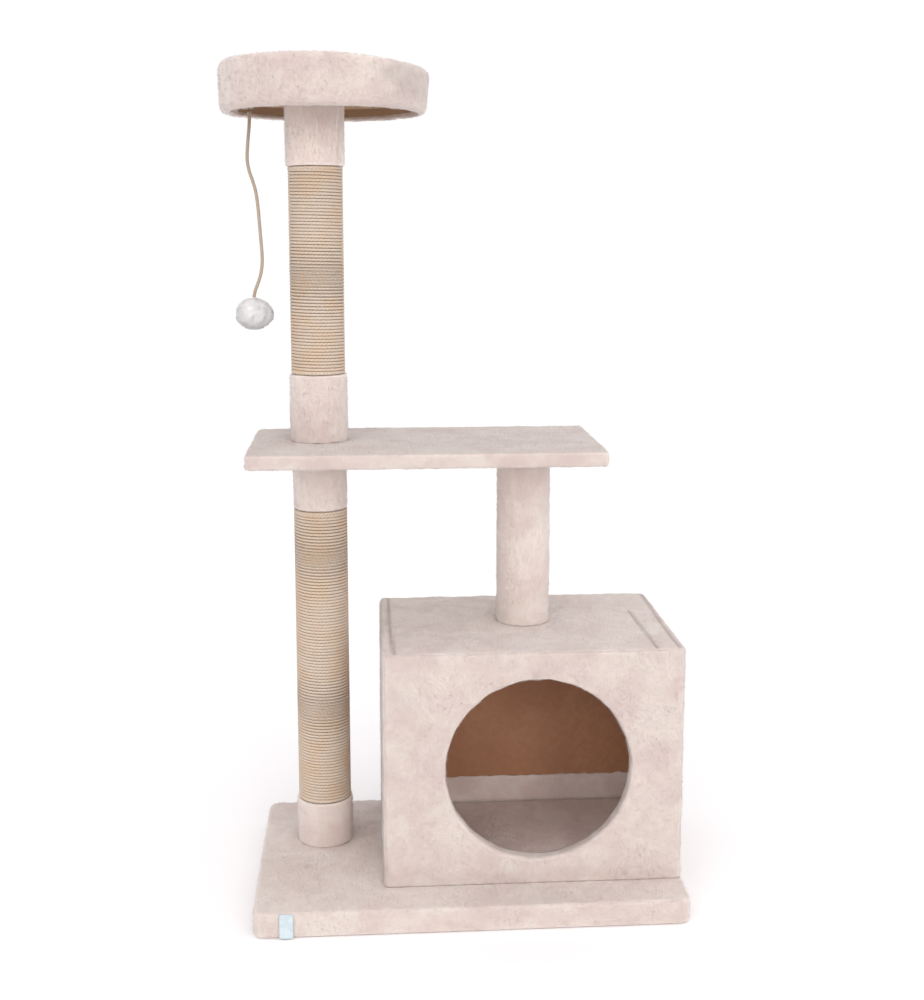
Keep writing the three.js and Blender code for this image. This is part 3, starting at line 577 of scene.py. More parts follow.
def yarn_material(colour):
    mat, w, surface, place = start_material("Pompom yarn", 0.95, 0.3, 0.0, (1.0, 1.0, 1.0))
    tip = attribute(w, "tip")
    fleck = attribute(w, "fleck")
    cloud = w.noise(place, 120.0, 2.0).outputs["Fac"]
    # painted shade: darker towards the roots of the strands; the fleck and cloud vary the yarn's own tone
    grade = w.maths("MULTIPLY", w.ramp(tip, 0.0, 0.7, 0.88, 1.0), w.ramp(fleck, 0.0, 1.0, 0.95, 1.0))
    grade = w.maths("MULTIPLY", grade, w.ramp(cloud, 0.3, 0.7, 0.95, 1.0))
    grey = w.add("ShaderNodeCombineColor", {0: grade, 1: grade, 2: grade}).outputs[0]
    w.feed(surface.inputs["Base Color"], w.mixed(1.0, solid(colour), grey, "MULTIPLY"))
    surface.inputs["Specular IOR Level"].default_value = 0.2
    fine = w.noise(place, 1500.0, 2.0).outputs["Fac"]
    bumped(w, surface, fine, 0.3, 0.0003, pile_facing(w, 0.7))
    return mat


def post_grooves():
    """The long post's axis, and how far out its rope's grooves and ridges are."""
    low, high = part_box("lower_post_sisal")
    outside = (high[0] - low[0]) / 2
    deep = outside - settings("rope").thickness * 0.42
    return (low[0] + high[0]) / 2, (low[1] + high[1]) / 2, deep, outside - 0.35 * MM


def material(name):
    """One of the tree's finishes, made the first time it is asked for."""
    known = bpy.data.materials.get(name)
    if known:
        return known
    plush, rope, toy = settings("plush"), settings("rope"), settings("toy")
    makers = {
        "Plush": lambda: plush_material("Plush", plush.light, plush.shade),
        "Bed plush": lambda: plush_material("Bed plush", plush.light, plush.shade, 0.06, 0.5),
        "Sisal": lambda: rope_material("Sisal", rope.light, rope.dark, wound_on=post_grooves()),
        "Toy string": lambda: rope_material("Toy string", (0.5, 0.42, 0.34), (0.22, 0.16, 0.12), 0.014),
        "Pompom yarn": lambda: yarn_material(toy.yarn),
        "Chipboard": lambda: board_material("Chipboard", (0.53, 0.28, 0.16), (0.36, 0.17, 0.09)),
        "Fibreboard": lambda: board_material(
            "Fibreboard", (0.33, 0.2, 0.11), (0.19, 0.11, 0.06), 0.002, 0.5
        ),
        "Plug wood": lambda: board_material(
            "Plug wood", (0.62, 0.44, 0.27), (0.42, 0.27, 0.15), 0.012, 0.5
        ),
        "Card tube": card_material,
        "Zinc steel": steel_material,
        "Felt": felt_material,
        "Label cloth": label_material,
    }
    return makers[name]()


# ---------------------------------------------------------------------------------------------
# Meshes


def tidy_lines(low, high, edge, cell, stops=()):
    """Grid lines from low to high: close together in the rounded edges, even between the stops."""
    marks = [low + edge, *sorted(stops), high - edge]
    lines = [low, low + 0.423 * edge, low + 0.732 * edge]
    for start, end in zip(marks, marks[1:]):
        count = max(1, round((end - start) / cell))
        lines.extend(start + (end - start) * i / count for i in range(count))
    lines.extend([high - edge, high - 0.732 * edge, high - 0.423 * edge, high])
    return np.array(lines)


def box_grid(xs, ys, zs):
    """Points and faces of a box made of the given grid lines, with each face's side."""
    on = np.zeros((len(xs), len(ys), len(zs)), bool)
    on[0] = on[-1] = True
    on[:, 0] = on[:, -1] = True
    on[:, :, 0] = on[:, :, -1] = True
    number = np.full(on.shape, -1)
    number[on] = np.arange(on.sum())
    i, j, k = np.nonzero(on)
    points = np.column_stack([xs[i], ys[j], zs[k]])
    sides = {
        "left": (number[0], True),
        "right": (number[-1], False),
        "front": (number[:, 0], False),
        "back": (number[:, -1], True),
        "bottom": (number[:, :, 0], True),
        "top": (number[:, :, -1], False),
    }
    faces, names = [], []
    for side, (block, flip) in sides.items():
        ring = (block[:-1, :-1], block[1:, :-1], block[1:, 1:], block[:-1, 1:])
        quads = np.stack(ring, -1).reshape(-1, 4)
        faces.append(quads[:, ::-1] if flip else quads)
        names.extend([side] * len(quads))
    return points, np.concatenate(faces), np.array(names)


def round_box(points, low, high, corner, edge):
    """Rounds a box's upright corners in plan, then its top and bottom edges."""
    low, high = np.array(low, float), np.array(high, float)
    out = points.copy()
    middle, half = (low + high) / 2, (high - low) / 2
    local = points - middle
    sign = np.where(local[:, :2] < 0, -1.0, 1.0)
    away = np.abs(local[:, :2])
    depth = np.minimum(half[0] - away[:, 0], half[1] - away[:, 1])
    inner = away - (half[:2] - corner)
    both = (inner[:, 0] > 0) & (inner[:, 1] > 0)
    reach = np.hypot(inner[:, 0], inner[:, 1])
    grow = np.where(both, inner.max(1) / np.maximum(reach, 1e-9), 1.0)
    plan = np.where(both[:, None], inner * grow[:, None] + half[:2] - corner, away)
    across = half[0] - away[:, 0] < half[1] - away[:, 1]
    facing = np.where(across[:, None], [1.0, 0.0], [0.0, 1.0])
    radial = inner / np.maximum(reach, 1e-9)[:, None]
    facing = np.where(both[:, None], radial, facing)
    up = half[2] - np.abs(local[:, 2])
    u, v = edge - depth, edge - up
    near = (u > 0) & (v > 0)
    scale = np.where(near, np.maximum(u, v) / np.maximum(np.hypot(u, v), 1e-9), 1.0)
    plan = plan - facing * np.where(near, u - u * scale, 0.0)[:, None]
    out[:, :2] = plan * sign + middle[:2]
    rise = np.where(near, v - v * scale, 0.0)
    out[:, 2] = points[:, 2] - np.where(local[:, 2] < 0, -1.0, 1.0) * rise
    return out


def face_normals(points, faces):
    """Normals of quad faces, as long as twice their areas."""
    a, b, c, d = (points[faces[:, i]] for i in range(4))
    return np.cross(c - a, d - b)


def point_normals(points, faces):
    """Smooth normals of a quad mesh."""
    normals = np.zeros_like(points)
    cross = face_normals(points, faces)
    for column in range(4):
        np.add.at(normals, faces[:, column], cross)
    return normals / np.maximum(np.linalg.norm(normals, axis=1), 1e-12)[:, None]


def used_only(points, faces, *extras):
    """Drops the points that no face uses."""
    used, index = np.unique(faces, return_inverse=True)
    return (points[used], index.reshape(faces.shape), *(e[used] for e in extras))


def shell_mesh(name, points, faces, thickness, values):
    """A closed shell: the given outer sheet, a copy set inside it, and a rim between the two."""
    count = len(points)
    inside = points - point_normals(points, faces) * thickness
    sides = np.concatenate([faces[:, [i, (i + 1) % 4]] for i in range(4)])
    keys = {tuple(pair) for pair in sides.tolist()}
    rim = [(a, b) for a, b in keys if (b, a) not in keys]
    rims = [(b, a, a + count, b + count) for a, b in sorted(rim)]
    every = faces.tolist() + (faces[:, ::-1] + count).tolist() + rims
    mesh = bpy.data.meshes.new(name)
    mesh.from_pydata(np.concatenate([points, inside]).tolist(), [], every)
    for key, array in values.items():
        mark(mesh, key, np.concatenate([array, np.zeros(count)]))
    mesh.validate()
    return mesh


def closed_mesh(name, points, faces, values):
    """A mesh that is closed already, with its values on its points."""
    mesh = bpy.data.meshes.new(name)
    mesh.from_pydata(points.tolist(), [], [list(f) for f in faces])
    for key, array in values.items():
        mark(mesh, key, array)
    mesh.validate()
    return mesh


def mark(mesh, key, values):
    """Stores a number on each of a mesh's points."""
    layer = mesh.attributes.new(key, "FLOAT", "POINT")
    layer.data.foreach_set("value", np.asarray(values, np.float32))


def turned_faces(rows, count):
    """The faces of a ring whose outline has that many rows, each with that many points."""
    index = np.arange(rows * count).reshape(rows, count)
    below, right = np.roll(index, -1, axis=0), np.roll(index, -1, axis=1)
    both = np.roll(below, -1, axis=1)
    return np.stack([index, right, both, below], -1).reshape(-1, 4)


def add_object(name, mesh):
    obj = bpy.data.objects.new(name, mesh)
    bpy.context.scene.collection.objects.link(obj)
    return obj


def smooth(obj):
    obj.data.polygons.foreach_set("use_smooth", [True] * len(obj.data.polygons))
    return obj


def grown(name, mesh, tree, values):
    """Runs a Geometry Nodes tree on a mesh and leaves its result as a plain mesh."""
    obj = add_object(name, mesh)
    modifier = obj.modifiers.new("Making", "NODES")
    modifier.node_group = tree
    sockets = {
        item.name: item.identifier
        for item in tree.interface.items_tree
        if item.item_type == "SOCKET" and item.in_out == "INPUT"
    }
    for key, value in values.items():
        modifier[sockets[key]] = value
    graph = bpy.context.evaluated_depsgraph_get()
    made = bpy.data.meshes.new_from_object(
        obj.evaluated_get(graph), preserve_all_data_layers=True, depsgraph=graph
    )
    obj.modifiers.remove(modifier)
    obj.data = made
    made.name = name
    return obj


def pile_tree():
    """Soft lumps, and tufts that lean with the brushing, on the part of a mesh marked as pile."""
    known = bpy.data.node_groups.get("Plush pile")
    if known:
        return known
    takes = {
        "Fabric": "geometry",
        "Tufts": "value",
        "Pile": "value",
        "Tuft": "value",
        "Lean": "value",
        "Patch": "value",
        "Lump": "value",
        "Lump Size": "value",
        "Droop": "value",
        "Seed": "whole",
        "Finish": "material",
    }
    tree, w, start, end = new_tree("Plush pile", "GeometryNodeTree", takes, {"Piece": "geometry"})
    place = w.add("GeometryNodeInputPosition").outputs[0]
    facing = w.add("GeometryNodeInputNormal").outputs[0]
    marked = w.add("GeometryNodeInputNamedAttribute", {"Name": "pile"}).outputs["Attribute"]
    coarse = w.noise(place, w.maths("DIVIDE", 1.0, start["Lump Size"]), 2.0, 0.6)
    height = w.maths("SUBTRACT", coarse.outputs["Fac"], 0.55)
    height = w.maths("MULTIPLY", height, w.maths("MULTIPLY", start["Lump"], 2.0))
    height = w.maths("MULTIPLY", height, marked)
    fabric = w.add("GeometryNodeSetPosition", {"Geometry": start["Fabric"]})
    w.feed(fabric.inputs["Offset"], w.scaled(facing, height))
    skin = fabric.outputs[0]
    crowd = w.maths("MULTIPLY", start["Tufts"], marked)
    roots = w.add("GeometryNodeDistributePointsOnFaces", {"Mesh": skin, "Seed": start["Seed"]})
    w.feed(roots.inputs["Density"], crowd)
    chance = w.add("FunctionNodeRandomValue", {"Seed": 3})
    fleck = w.add("GeometryNodeStoreNamedAttribute", {"Name": "fleck", "Value": chance.outputs[1]})
    w.feed(fleck.inputs["Geometry"], roots.outputs["Points"])
    held = w.add("GeometryNodeStoreNamedAttribute", {"Name": "facing"}, data_type="FLOAT_VECTOR")
    w.feed(held.inputs["Geometry"], fleck.outputs[0])
    w.feed(held.inputs["Value"], roots.outputs["Normal"])
    brushing = w.noise(place, w.maths("DIVIDE", 1.0, start["Patch"]), 2.0, 0.6, 0.5)
    brushing = w.vector("SUBTRACT", brushing.outputs["Color"], (0.5, 0.5, 0.5))
    brushing = w.scaled(w.vector("NORMALIZE", brushing), start["Lean"])
    stray = w.add("FunctionNodeRandomValue", {"Seed": 8}, data_type="FLOAT_VECTOR")
    stray.inputs[0].default_value = (-0.6, -0.6, -0.6)
    stray.inputs[1].default_value = (0.6, 0.6, 0.6)
    down = w.add("ShaderNodeCombineXYZ")
    w.feed(down.inputs[2], w.maths("MULTIPLY", start["Droop"], -1.0))
    lean = w.vector("ADD", w.vector("ADD", brushing, down.outputs[0]), stray.outputs[0])
    outward = roots.outputs["Normal"]
    inward = w.add("ShaderNodeVectorMath", {0: lean, 1: outward}, operation="DOT_PRODUCT")
    flat = w.vector("SUBTRACT", lean, w.scaled(outward, inward.outputs["Value"]))
    way = w.vector("NORMALIZE", w.vector("ADD", outward, flat))
    turned = w.add("FunctionNodeAlignRotationToVector", {"Vector": way}, axis="Z").outputs[0]
    spin = w.add("FunctionNodeRandomValue", {"Seed": 5})
    spin.inputs[3].default_value = 6.28
    about = w.add("FunctionNodeAxisAngleToRotation", {"Angle": spin.outputs[1]}).outputs[0]
    both = w.add("FunctionNodeRotateRotation", {0: turned, 1: about}, rotation_space="LOCAL")
    tuft = w.add("GeometryNodeMeshCone", {"Vertices": 3, "Radius Top": 0.0})
    w.feed(tuft.inputs["Radius Bottom"], w.maths("MULTIPLY", start["Tuft"], 0.5))
    w.feed(tuft.inputs["Depth"], start["Pile"])
    level = w.add("ShaderNodeSeparateXYZ", {0: place}).outputs[2]
    tip = w.add("GeometryNodeStoreNamedAttribute", {"Name": "tip", "Geometry": tuft.outputs[0]})
    w.feed(tip.inputs["Value"], w.maths("DIVIDE", level, start["Pile"]))
    sunk = w.add("GeometryNodeTransform", {"Geometry": tip.outputs[0]})
    depth = w.add("ShaderNodeCombineXYZ")
    w.feed(depth.inputs[2], w.maths("MULTIPLY", start["Pile"], -0.2))
    w.feed(sunk.inputs["Translation"], depth.outputs[0])
    size = w.add("FunctionNodeRandomValue", {"Seed": 11})
    size.inputs[2].default_value = 0.65
    size.inputs[3].default_value = 1.4
    rooted = w.add("GeometryNodeSetPosition", {"Geometry": held.outputs[0]})
    depth = w.maths("MULTIPLY", start["Tuft"], -0.36)
    w.feed(rooted.inputs["Offset"], w.scaled(outward, depth))
    tufts = w.add("GeometryNodeInstanceOnPoints", {"Points": rooted.outputs[0]})
    w.feed(tufts.inputs["Instance"], sunk.outputs[0])
    w.feed(tufts.inputs["Rotation"], both.outputs[0])
    w.feed(tufts.inputs["Scale"], size.outputs[1])
    under = w.add("GeometryNodeStoreNamedAttribute", {"Name": "tip", "Geometry": skin})
    under.inputs["Value"].default_value = 0.5
    under2 = w.add("GeometryNodeStoreNamedAttribute", {"Name": "fleck", "Geometry": under.outputs[0]})
    under2.inputs["Value"].default_value = 0.5
    cloth = w.add("GeometryNodeStoreNamedAttribute", {"Name": "facing"}, data_type="FLOAT_VECTOR")
    w.feed(cloth.inputs["Geometry"], under2.outputs[0])
    w.feed(cloth.inputs["Value"], facing)
    whole = w.add("GeometryNodeJoinGeometry")
    w.feed(whole.inputs[0], cloth.outputs[0])
    w.feed(whole.inputs[0], tufts.outputs[0])
    real = w.add("GeometryNodeRealizeInstances", {"Geometry": whole.outputs[0]})
    soft = w.add("GeometryNodeSetShadeSmooth", {"Geometry": real.outputs[0]})
    done = w.add("GeometryNodeSetMaterial", {"Geometry": soft.outputs[0]})
    w.feed(done.inputs["Material"], start["Finish"])
    w.feed(end[0], done.outputs[0])
    return tree


def pile_on(name, mesh, finish="Plush", **changes):
    """Covers a mesh's marked part in pile and finishes it."""
    plush = settings("plush")
    values = {
        "Tufts": plush.tufts,
        "Pile": plush.pile,
        "Tuft": plush.tuft,
        "Lean": 1.0,
        "Patch": 0.045,
        "Lump": plush.lump,
        "Lump Size": 0.016,
        "Droop": 0.12,
        "Seed": 1,
        "Finish": material(finish),
    }
    values.update(changes)
    return grown(name, mesh, pile_tree(), values)


def fade(distance, width):
    """1 at a distance of nothing, falling to 0 at the width."""
    t = np.clip(np.abs(distance) / width, 0.0, 1.0)
    return 1.0 - t * t * (3.0 - 2.0 * t)


def seam_level(points, lines, width):
    """How near each point is to one of the seams, given as stretches between two points."""
    level = np.zeros(len(points))
    for start, end in lines:
        a, b = np.array(start), np.array(end)
        t = np.clip(((points - a) @ (b - a)) / ((b - a) @ (b - a)), 0.0, 1.0)
        away = np.linalg.norm(points - a - t[:, None] * (b - a), axis=1)
        level = np.maximum(level, fade(away, width))
    return level


def span(node):
    """A CAD node's corners as two arrays."""
    low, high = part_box(node)
    return np.array(low), np.array(high)


def under_post(points, node):
    """Which points are hidden under the end of a post's sleeve, so need no pile."""
    low, high = span(node)
    reach = np.hypot(*(points[:, :2] - (low[:2] + high[:2]) / 2).T)
    return reach < (high[0] - low[0]) / 2 - 4 * MM


# ---------------------------------------------------------------------------------------------
# Stage


class CAT_TREE_OT_stage(bpy.types.Operator):
    """Adds the camera, the soft lights, the white room and the floor"""

    bl_idname = "cat_tree.stage"
    bl_label = "Stage"

    def execute(self, context):
        stage = settings("stage")
        data = bpy.data.cameras.new("Camera")
        data.sensor_width = 36.0
        data.lens = stage.lens
        data.shift_y = -0.06
        data.clip_start = 0.05
        data.clip_end = 60.0
        camera = add_object("Camera", data)
        camera.location = stage.camera_place
        turn, dip = stage.camera_turn, stage.camera_dip
        ahead = Vector((math.sin(turn) * math.cos(dip), math.cos(turn) * math.cos(dip), -math.sin(dip)))
        camera.rotation_euler = ahead.to_track_quat("-Z", "Y").to_euler()
        context.scene.camera = camera
        self.light("Key light", 17.0, 15.0, 20.0, stage.key_power, (1.0, 0.95, 0.9))
        self.light("Fill light", -22.0, 30.0, 50.0, stage.fill_power, (1.0, 0.97, 0.98))
        self.room(context, stage.sky)
        self.floor(stage.floor_colour)
        context.scene.view_settings.view_transform = "Standard"
        return {"FINISHED"}

    def light(self, name, around, above, spread, power, colour):
        """A broad soft light from far off: its bearing from the front, its height and its spread."""
        data = bpy.data.lights.new(name, "SUN")
        data.angle = math.radians(spread)
        data.energy = power
        data.color = colour
        lamp = add_object(name, data)
        turn, rise = math.radians(around), math.radians(above)
        away = (math.sin(turn) * math.cos(rise), -math.cos(turn) * math.cos(rise), math.sin(rise))
        lamp.location = Vector(away) * 4.0
        lamp.rotation_euler = Vector(away).to_track_quat("Z", "Y").to_euler()

    def room(self, context, strength):
        world = bpy.data.worlds.new("White room")
        context.scene.world = world
        world.use_nodes = True
        w = Wiring(world.node_tree)
        world.node_tree.nodes.clear()
        seen = w.add("ShaderNodeLightPath").outputs["Is Camera Ray"]
        way = w.add("ShaderNodeTexCoord").outputs["Generated"]
        spot = w.add("ShaderNodeSeparateXYZ", {0: way}).outputs
        lit = w.maths("SUBTRACT", strength, w.maths("MULTIPLY", spot[1], 0.45))
        lit = w.maths("ADD", lit, w.maths("MULTIPLY", spot[0], 0.12))
        lit = w.maths("ADD", lit, w.maths("MULTIPLY", spot[2], 0.4))
        level = w.ramp(seen, 0.0, 1.0, lit, 1.05)
        tone = w.mixed(seen, (1.0, 0.975, 0.99, 1.0), (1.0, 1.0, 1.0, 1.0))
        back = w.add("ShaderNodeBackground", {"Color": tone, "Strength": level})
        out = w.add("ShaderNodeOutputWorld")
        w.feed(out.inputs["Surface"], back.outputs[0])

    def floor(self, colour):
        mesh = bpy.data.meshes.new("Floor")
        work = bmesh.new()
        bmesh.ops.create_circle(work, cap_ends=True, segments=96, radius=14.0)
        work.to_mesh(mesh)
        work.free()
        floor = add_object("Floor", mesh)
        mat, w, surface, place = start_material("Floor paint", 0.7)
        cloud = w.noise(place, 1.2, 2.0).outputs["Fac"]
        tone = w.mixed(w.ramp(cloud, 0.3, 0.7, 0.0, 0.15), solid(colour), (0.9, 0.9, 0.9, 1.0))
        w.feed(surface.inputs["Base Color"], tone)
        mesh.materials.append(mat)


# ---------------------------------------------------------------------------------------------
# Toy

STRING_ROUTE = (
    (0.0, 0.0),
    (-0.9, -14.0),
    (-2.8, -32.0),
    (-4.3, -50.0),
    (-4.2, -62.0),
    (-1.6, -75.0),
    (2.7, -88.0),
    (6.2, -102.0),
    (8.6, -122.0),
    (10.0, -143.0),
    (11.2, -162.0),
    (12.4, -180.0),
    (12.6, -194.0),
    (11.0, -208.0),
    (7.2, -221.0),
    (2.6, -233.0),
    (0.4, -243.0),
)


def smooth_path(points, steps):
    """A smooth line through the points, as many short steps."""
    pts = [np.array(p) for p in points]
    pts = [2 * pts[0] - pts[1], *pts, 2 * pts[-1] - pts[-2]]
    line = []
    for a, b, c, d in zip(pts, pts[1:], pts[2:], pts[3:]):
        for i in range(steps):
            t = i / steps
            value = 2 * b + (c - a) * t + (2 * a - 5 * b + 4 * c - d) * t**2
            value = value + (3 * b - a - 3 * c + d) * t**3
            line.append(value / 2)
    line.append(pts[-2])
    return line


def rope_skin(w, start, end, line, sides):
    """Gives a line a round section that knows how far along and round it each point is."""
    length = w.add("GeometryNodeSplineParameter").outputs["Length"]
    along = w.add("GeometryNodeStoreNamedAttribute", {"Name": "along", "Value": length})
    w.feed(along.inputs["Geometry"], line)
    ring = w.add("GeometryNodeCurvePrimitiveCircle", {"Resolution": sides})
    w.feed(ring.inputs["Radius"], w.maths("MULTIPLY", start["Thickness"], 0.5))
    share = w.add("GeometryNodeSplineParameter").outputs["Factor"]
    around = w.add("GeometryNodeStoreNamedAttribute", {"Name": "around", "Value": share})
    w.feed(around.inputs["Geometry"], ring.outputs[0])
    tube = w.add("GeometryNodeCurveToMesh", {"Curve": along.outputs[0]})
    w.feed(tube.inputs["Profile Curve"], around.outputs[0])
    tube.inputs["Fill Caps"].default_value = True
    real = w.add("GeometryNodeRealizeInstances", {"Geometry": tube.outputs[0]})
    soft = w.add("GeometryNodeSetShadeSmooth", {"Geometry": real.outputs[0]})
    done = w.add("GeometryNodeSetMaterial", {"Geometry": soft.outputs[0]})
    w.feed(done.inputs["Material"], start["Finish"])
    w.feed(end[0], done.outputs[0])


def rope_tree():
    """A rope along a line of points: a round section, with how far along and round it each point is."""
    known = bpy.data.node_groups.get("Rope on a path")
    if known:
        return known
    takes = {
        "Path": "geometry",
        "Thickness": "value",
        "Sides": "whole",
        "Wobble": "value",
        "Finish": "material",
    }
    gives = {"Piece": "geometry"}
    tree, w, start, end = new_tree("Rope on a path", "GeometryNodeTree", takes, gives)
    line = w.add("GeometryNodeMeshToCurve", {"Mesh": start["Path"]}).outputs[0]
    place = w.add("GeometryNodeInputPosition").outputs[0]
    shake = w.noise(place, 45.0, 2.0).outputs["Color"]
    shake = w.vector("SUBTRACT", shake, (0.5, 0.5, 0.5))
    moved = w.add("GeometryNodeSetPosition", {"Geometry": line})
    w.feed(moved.inputs["Offset"], w.scaled(shake, start["Wobble"]))
    rope_skin(w, start, end, moved.outputs[0], start["Sides"])
    return tree


def rope_on(name, path, thickness, finish, sides=12, wobble=0.0):
    """A rope along a path, as a plain mesh."""
    mesh = bpy.data.meshes.new(name)
    edges = [(i, i + 1) for i in range(len(path) - 1)]
    mesh.from_pydata([tuple(map(float, p)) for p in path], edges, [])
    values = {"Thickness": thickness, "Sides": sides, "Wobble": wobble, "Finish": material(finish)}
    return grown(name, mesh, rope_tree(), values)


class CAT_TREE_OT_toy(bpy.types.Operator):
    """Adds the toy: its loop, knot, string and pompom"""

    bl_idname = "cat_tree.toy"
    bl_label = "Toy"

    def execute(self, context):
        toy = settings("toy")
        top = span("toy_cord")[1][2]
        knot_low, knot_high = span("toy_knot")
        x, y = (knot_low[:2] + knot_high[:2]) / 2
        route = [(x + dx * MM, y, top + dz * MM) for dx, dz in STRING_ROUTE]
        line = smooth_path(route, 8)
        string = rope_on("toy_string", line, toy.string, "Toy string", 12)
        pompom = self.pompom(toy)
        knot = self.knot(x, y, knot_low[2], knot_high[2], toy.string)
        loop = self.loop()
        for piece, node, body in (
            (string, "toy_cord", "toy"),
            (pompom, "toy_pompom", "toy"),
            (knot, "toy_knot", "toy"),
            (loop, "toy_loop", "toy_loop"),
        ):
            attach(piece, body)
            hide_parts(node)
        return {"FINISHED"}

    def loop(self):
        """The eye of string that hangs on the staple."""
        low, high = span("toy_loop")
        middle = (low + high) / 2
        thick = high[1] - low[1]
        reach = (high[2] - low[2]) / 2 - thick / 2
        count = 40
        turns = [2 * math.pi * i / count for i in range(count)]
        line = [
            (middle[0] + reach * math.sin(t), middle[1], middle[2] + reach * math.cos(t))
            for t in turns
        ]
        mesh = bpy.data.meshes.new("toy_eye")
        edges = [(i, (i + 1) % count) for i in range(count)]
        mesh.from_pydata([tuple(map(float, p)) for p in line], edges, [])
        values = {"Thickness": thick, "Sides": 10, "Finish": material("Toy string")}
        return grown("toy_eye", mesh, rope_tree(), values)

    def knot(self, x, y, low, high, thick):
        """An overhand knot: three passes of the string round each other."""
        middle, half = (low + high) / 2, (high - low) / 2
        path = []
        for i in range(97):
            t = 2 * math.pi * i / 96
            radius = (2.0 + math.cos(3 * t)) / 3.0
            across = radius * math.cos(2 * t) * half * 0.62
            deep = radius * math.sin(2 * t) * half * 0.62
            path.append((x + across, y + deep, middle + math.sin(3 * t) * half * 0.42))
        return rope_on("toy_string_knot", path, thick * 0.62, "Toy string", 10)

    def pompom(self, toy):
        """A ball of cut yarn."""
        low, high = span("toy_pompom")
        middle, half = (low + high) / 2, (high - low) / 2
        work = bmesh.new()
        bmesh.ops.create_icosphere(work, subdivisions=4, radius=1.0)
        for vert in work.verts:
            push = 1.0 + 0.08 * noise.noise(vert.co * 2.6)
            vert.co = Vector(
                [middle[i] + vert.co[i] * push * half[i] * 0.87 for i in range(3)]
            )
        mesh = bpy.data.meshes.new("toy_pompom_yarn")
        work.to_mesh(mesh)
        work.free()
        mark(mesh, "pile", np.ones(len(mesh.vertices)))
        area = sum(face.area for face in mesh.polygons)
        return pile_on(
            "toy_pompom_yarn",
            mesh,
            "Pompom yarn",
            Tufts=toy.strands / area,
            Pile=float(half[0]) * 0.19,
            Tuft=2.3 * MM,
            Lean=0.7,
            Patch=0.012,
            Lump=2.4 * MM,
            Droop=0.0,
            Seed=4,
        )


# ---------------------------------------------------------------------------------------------
# Covers


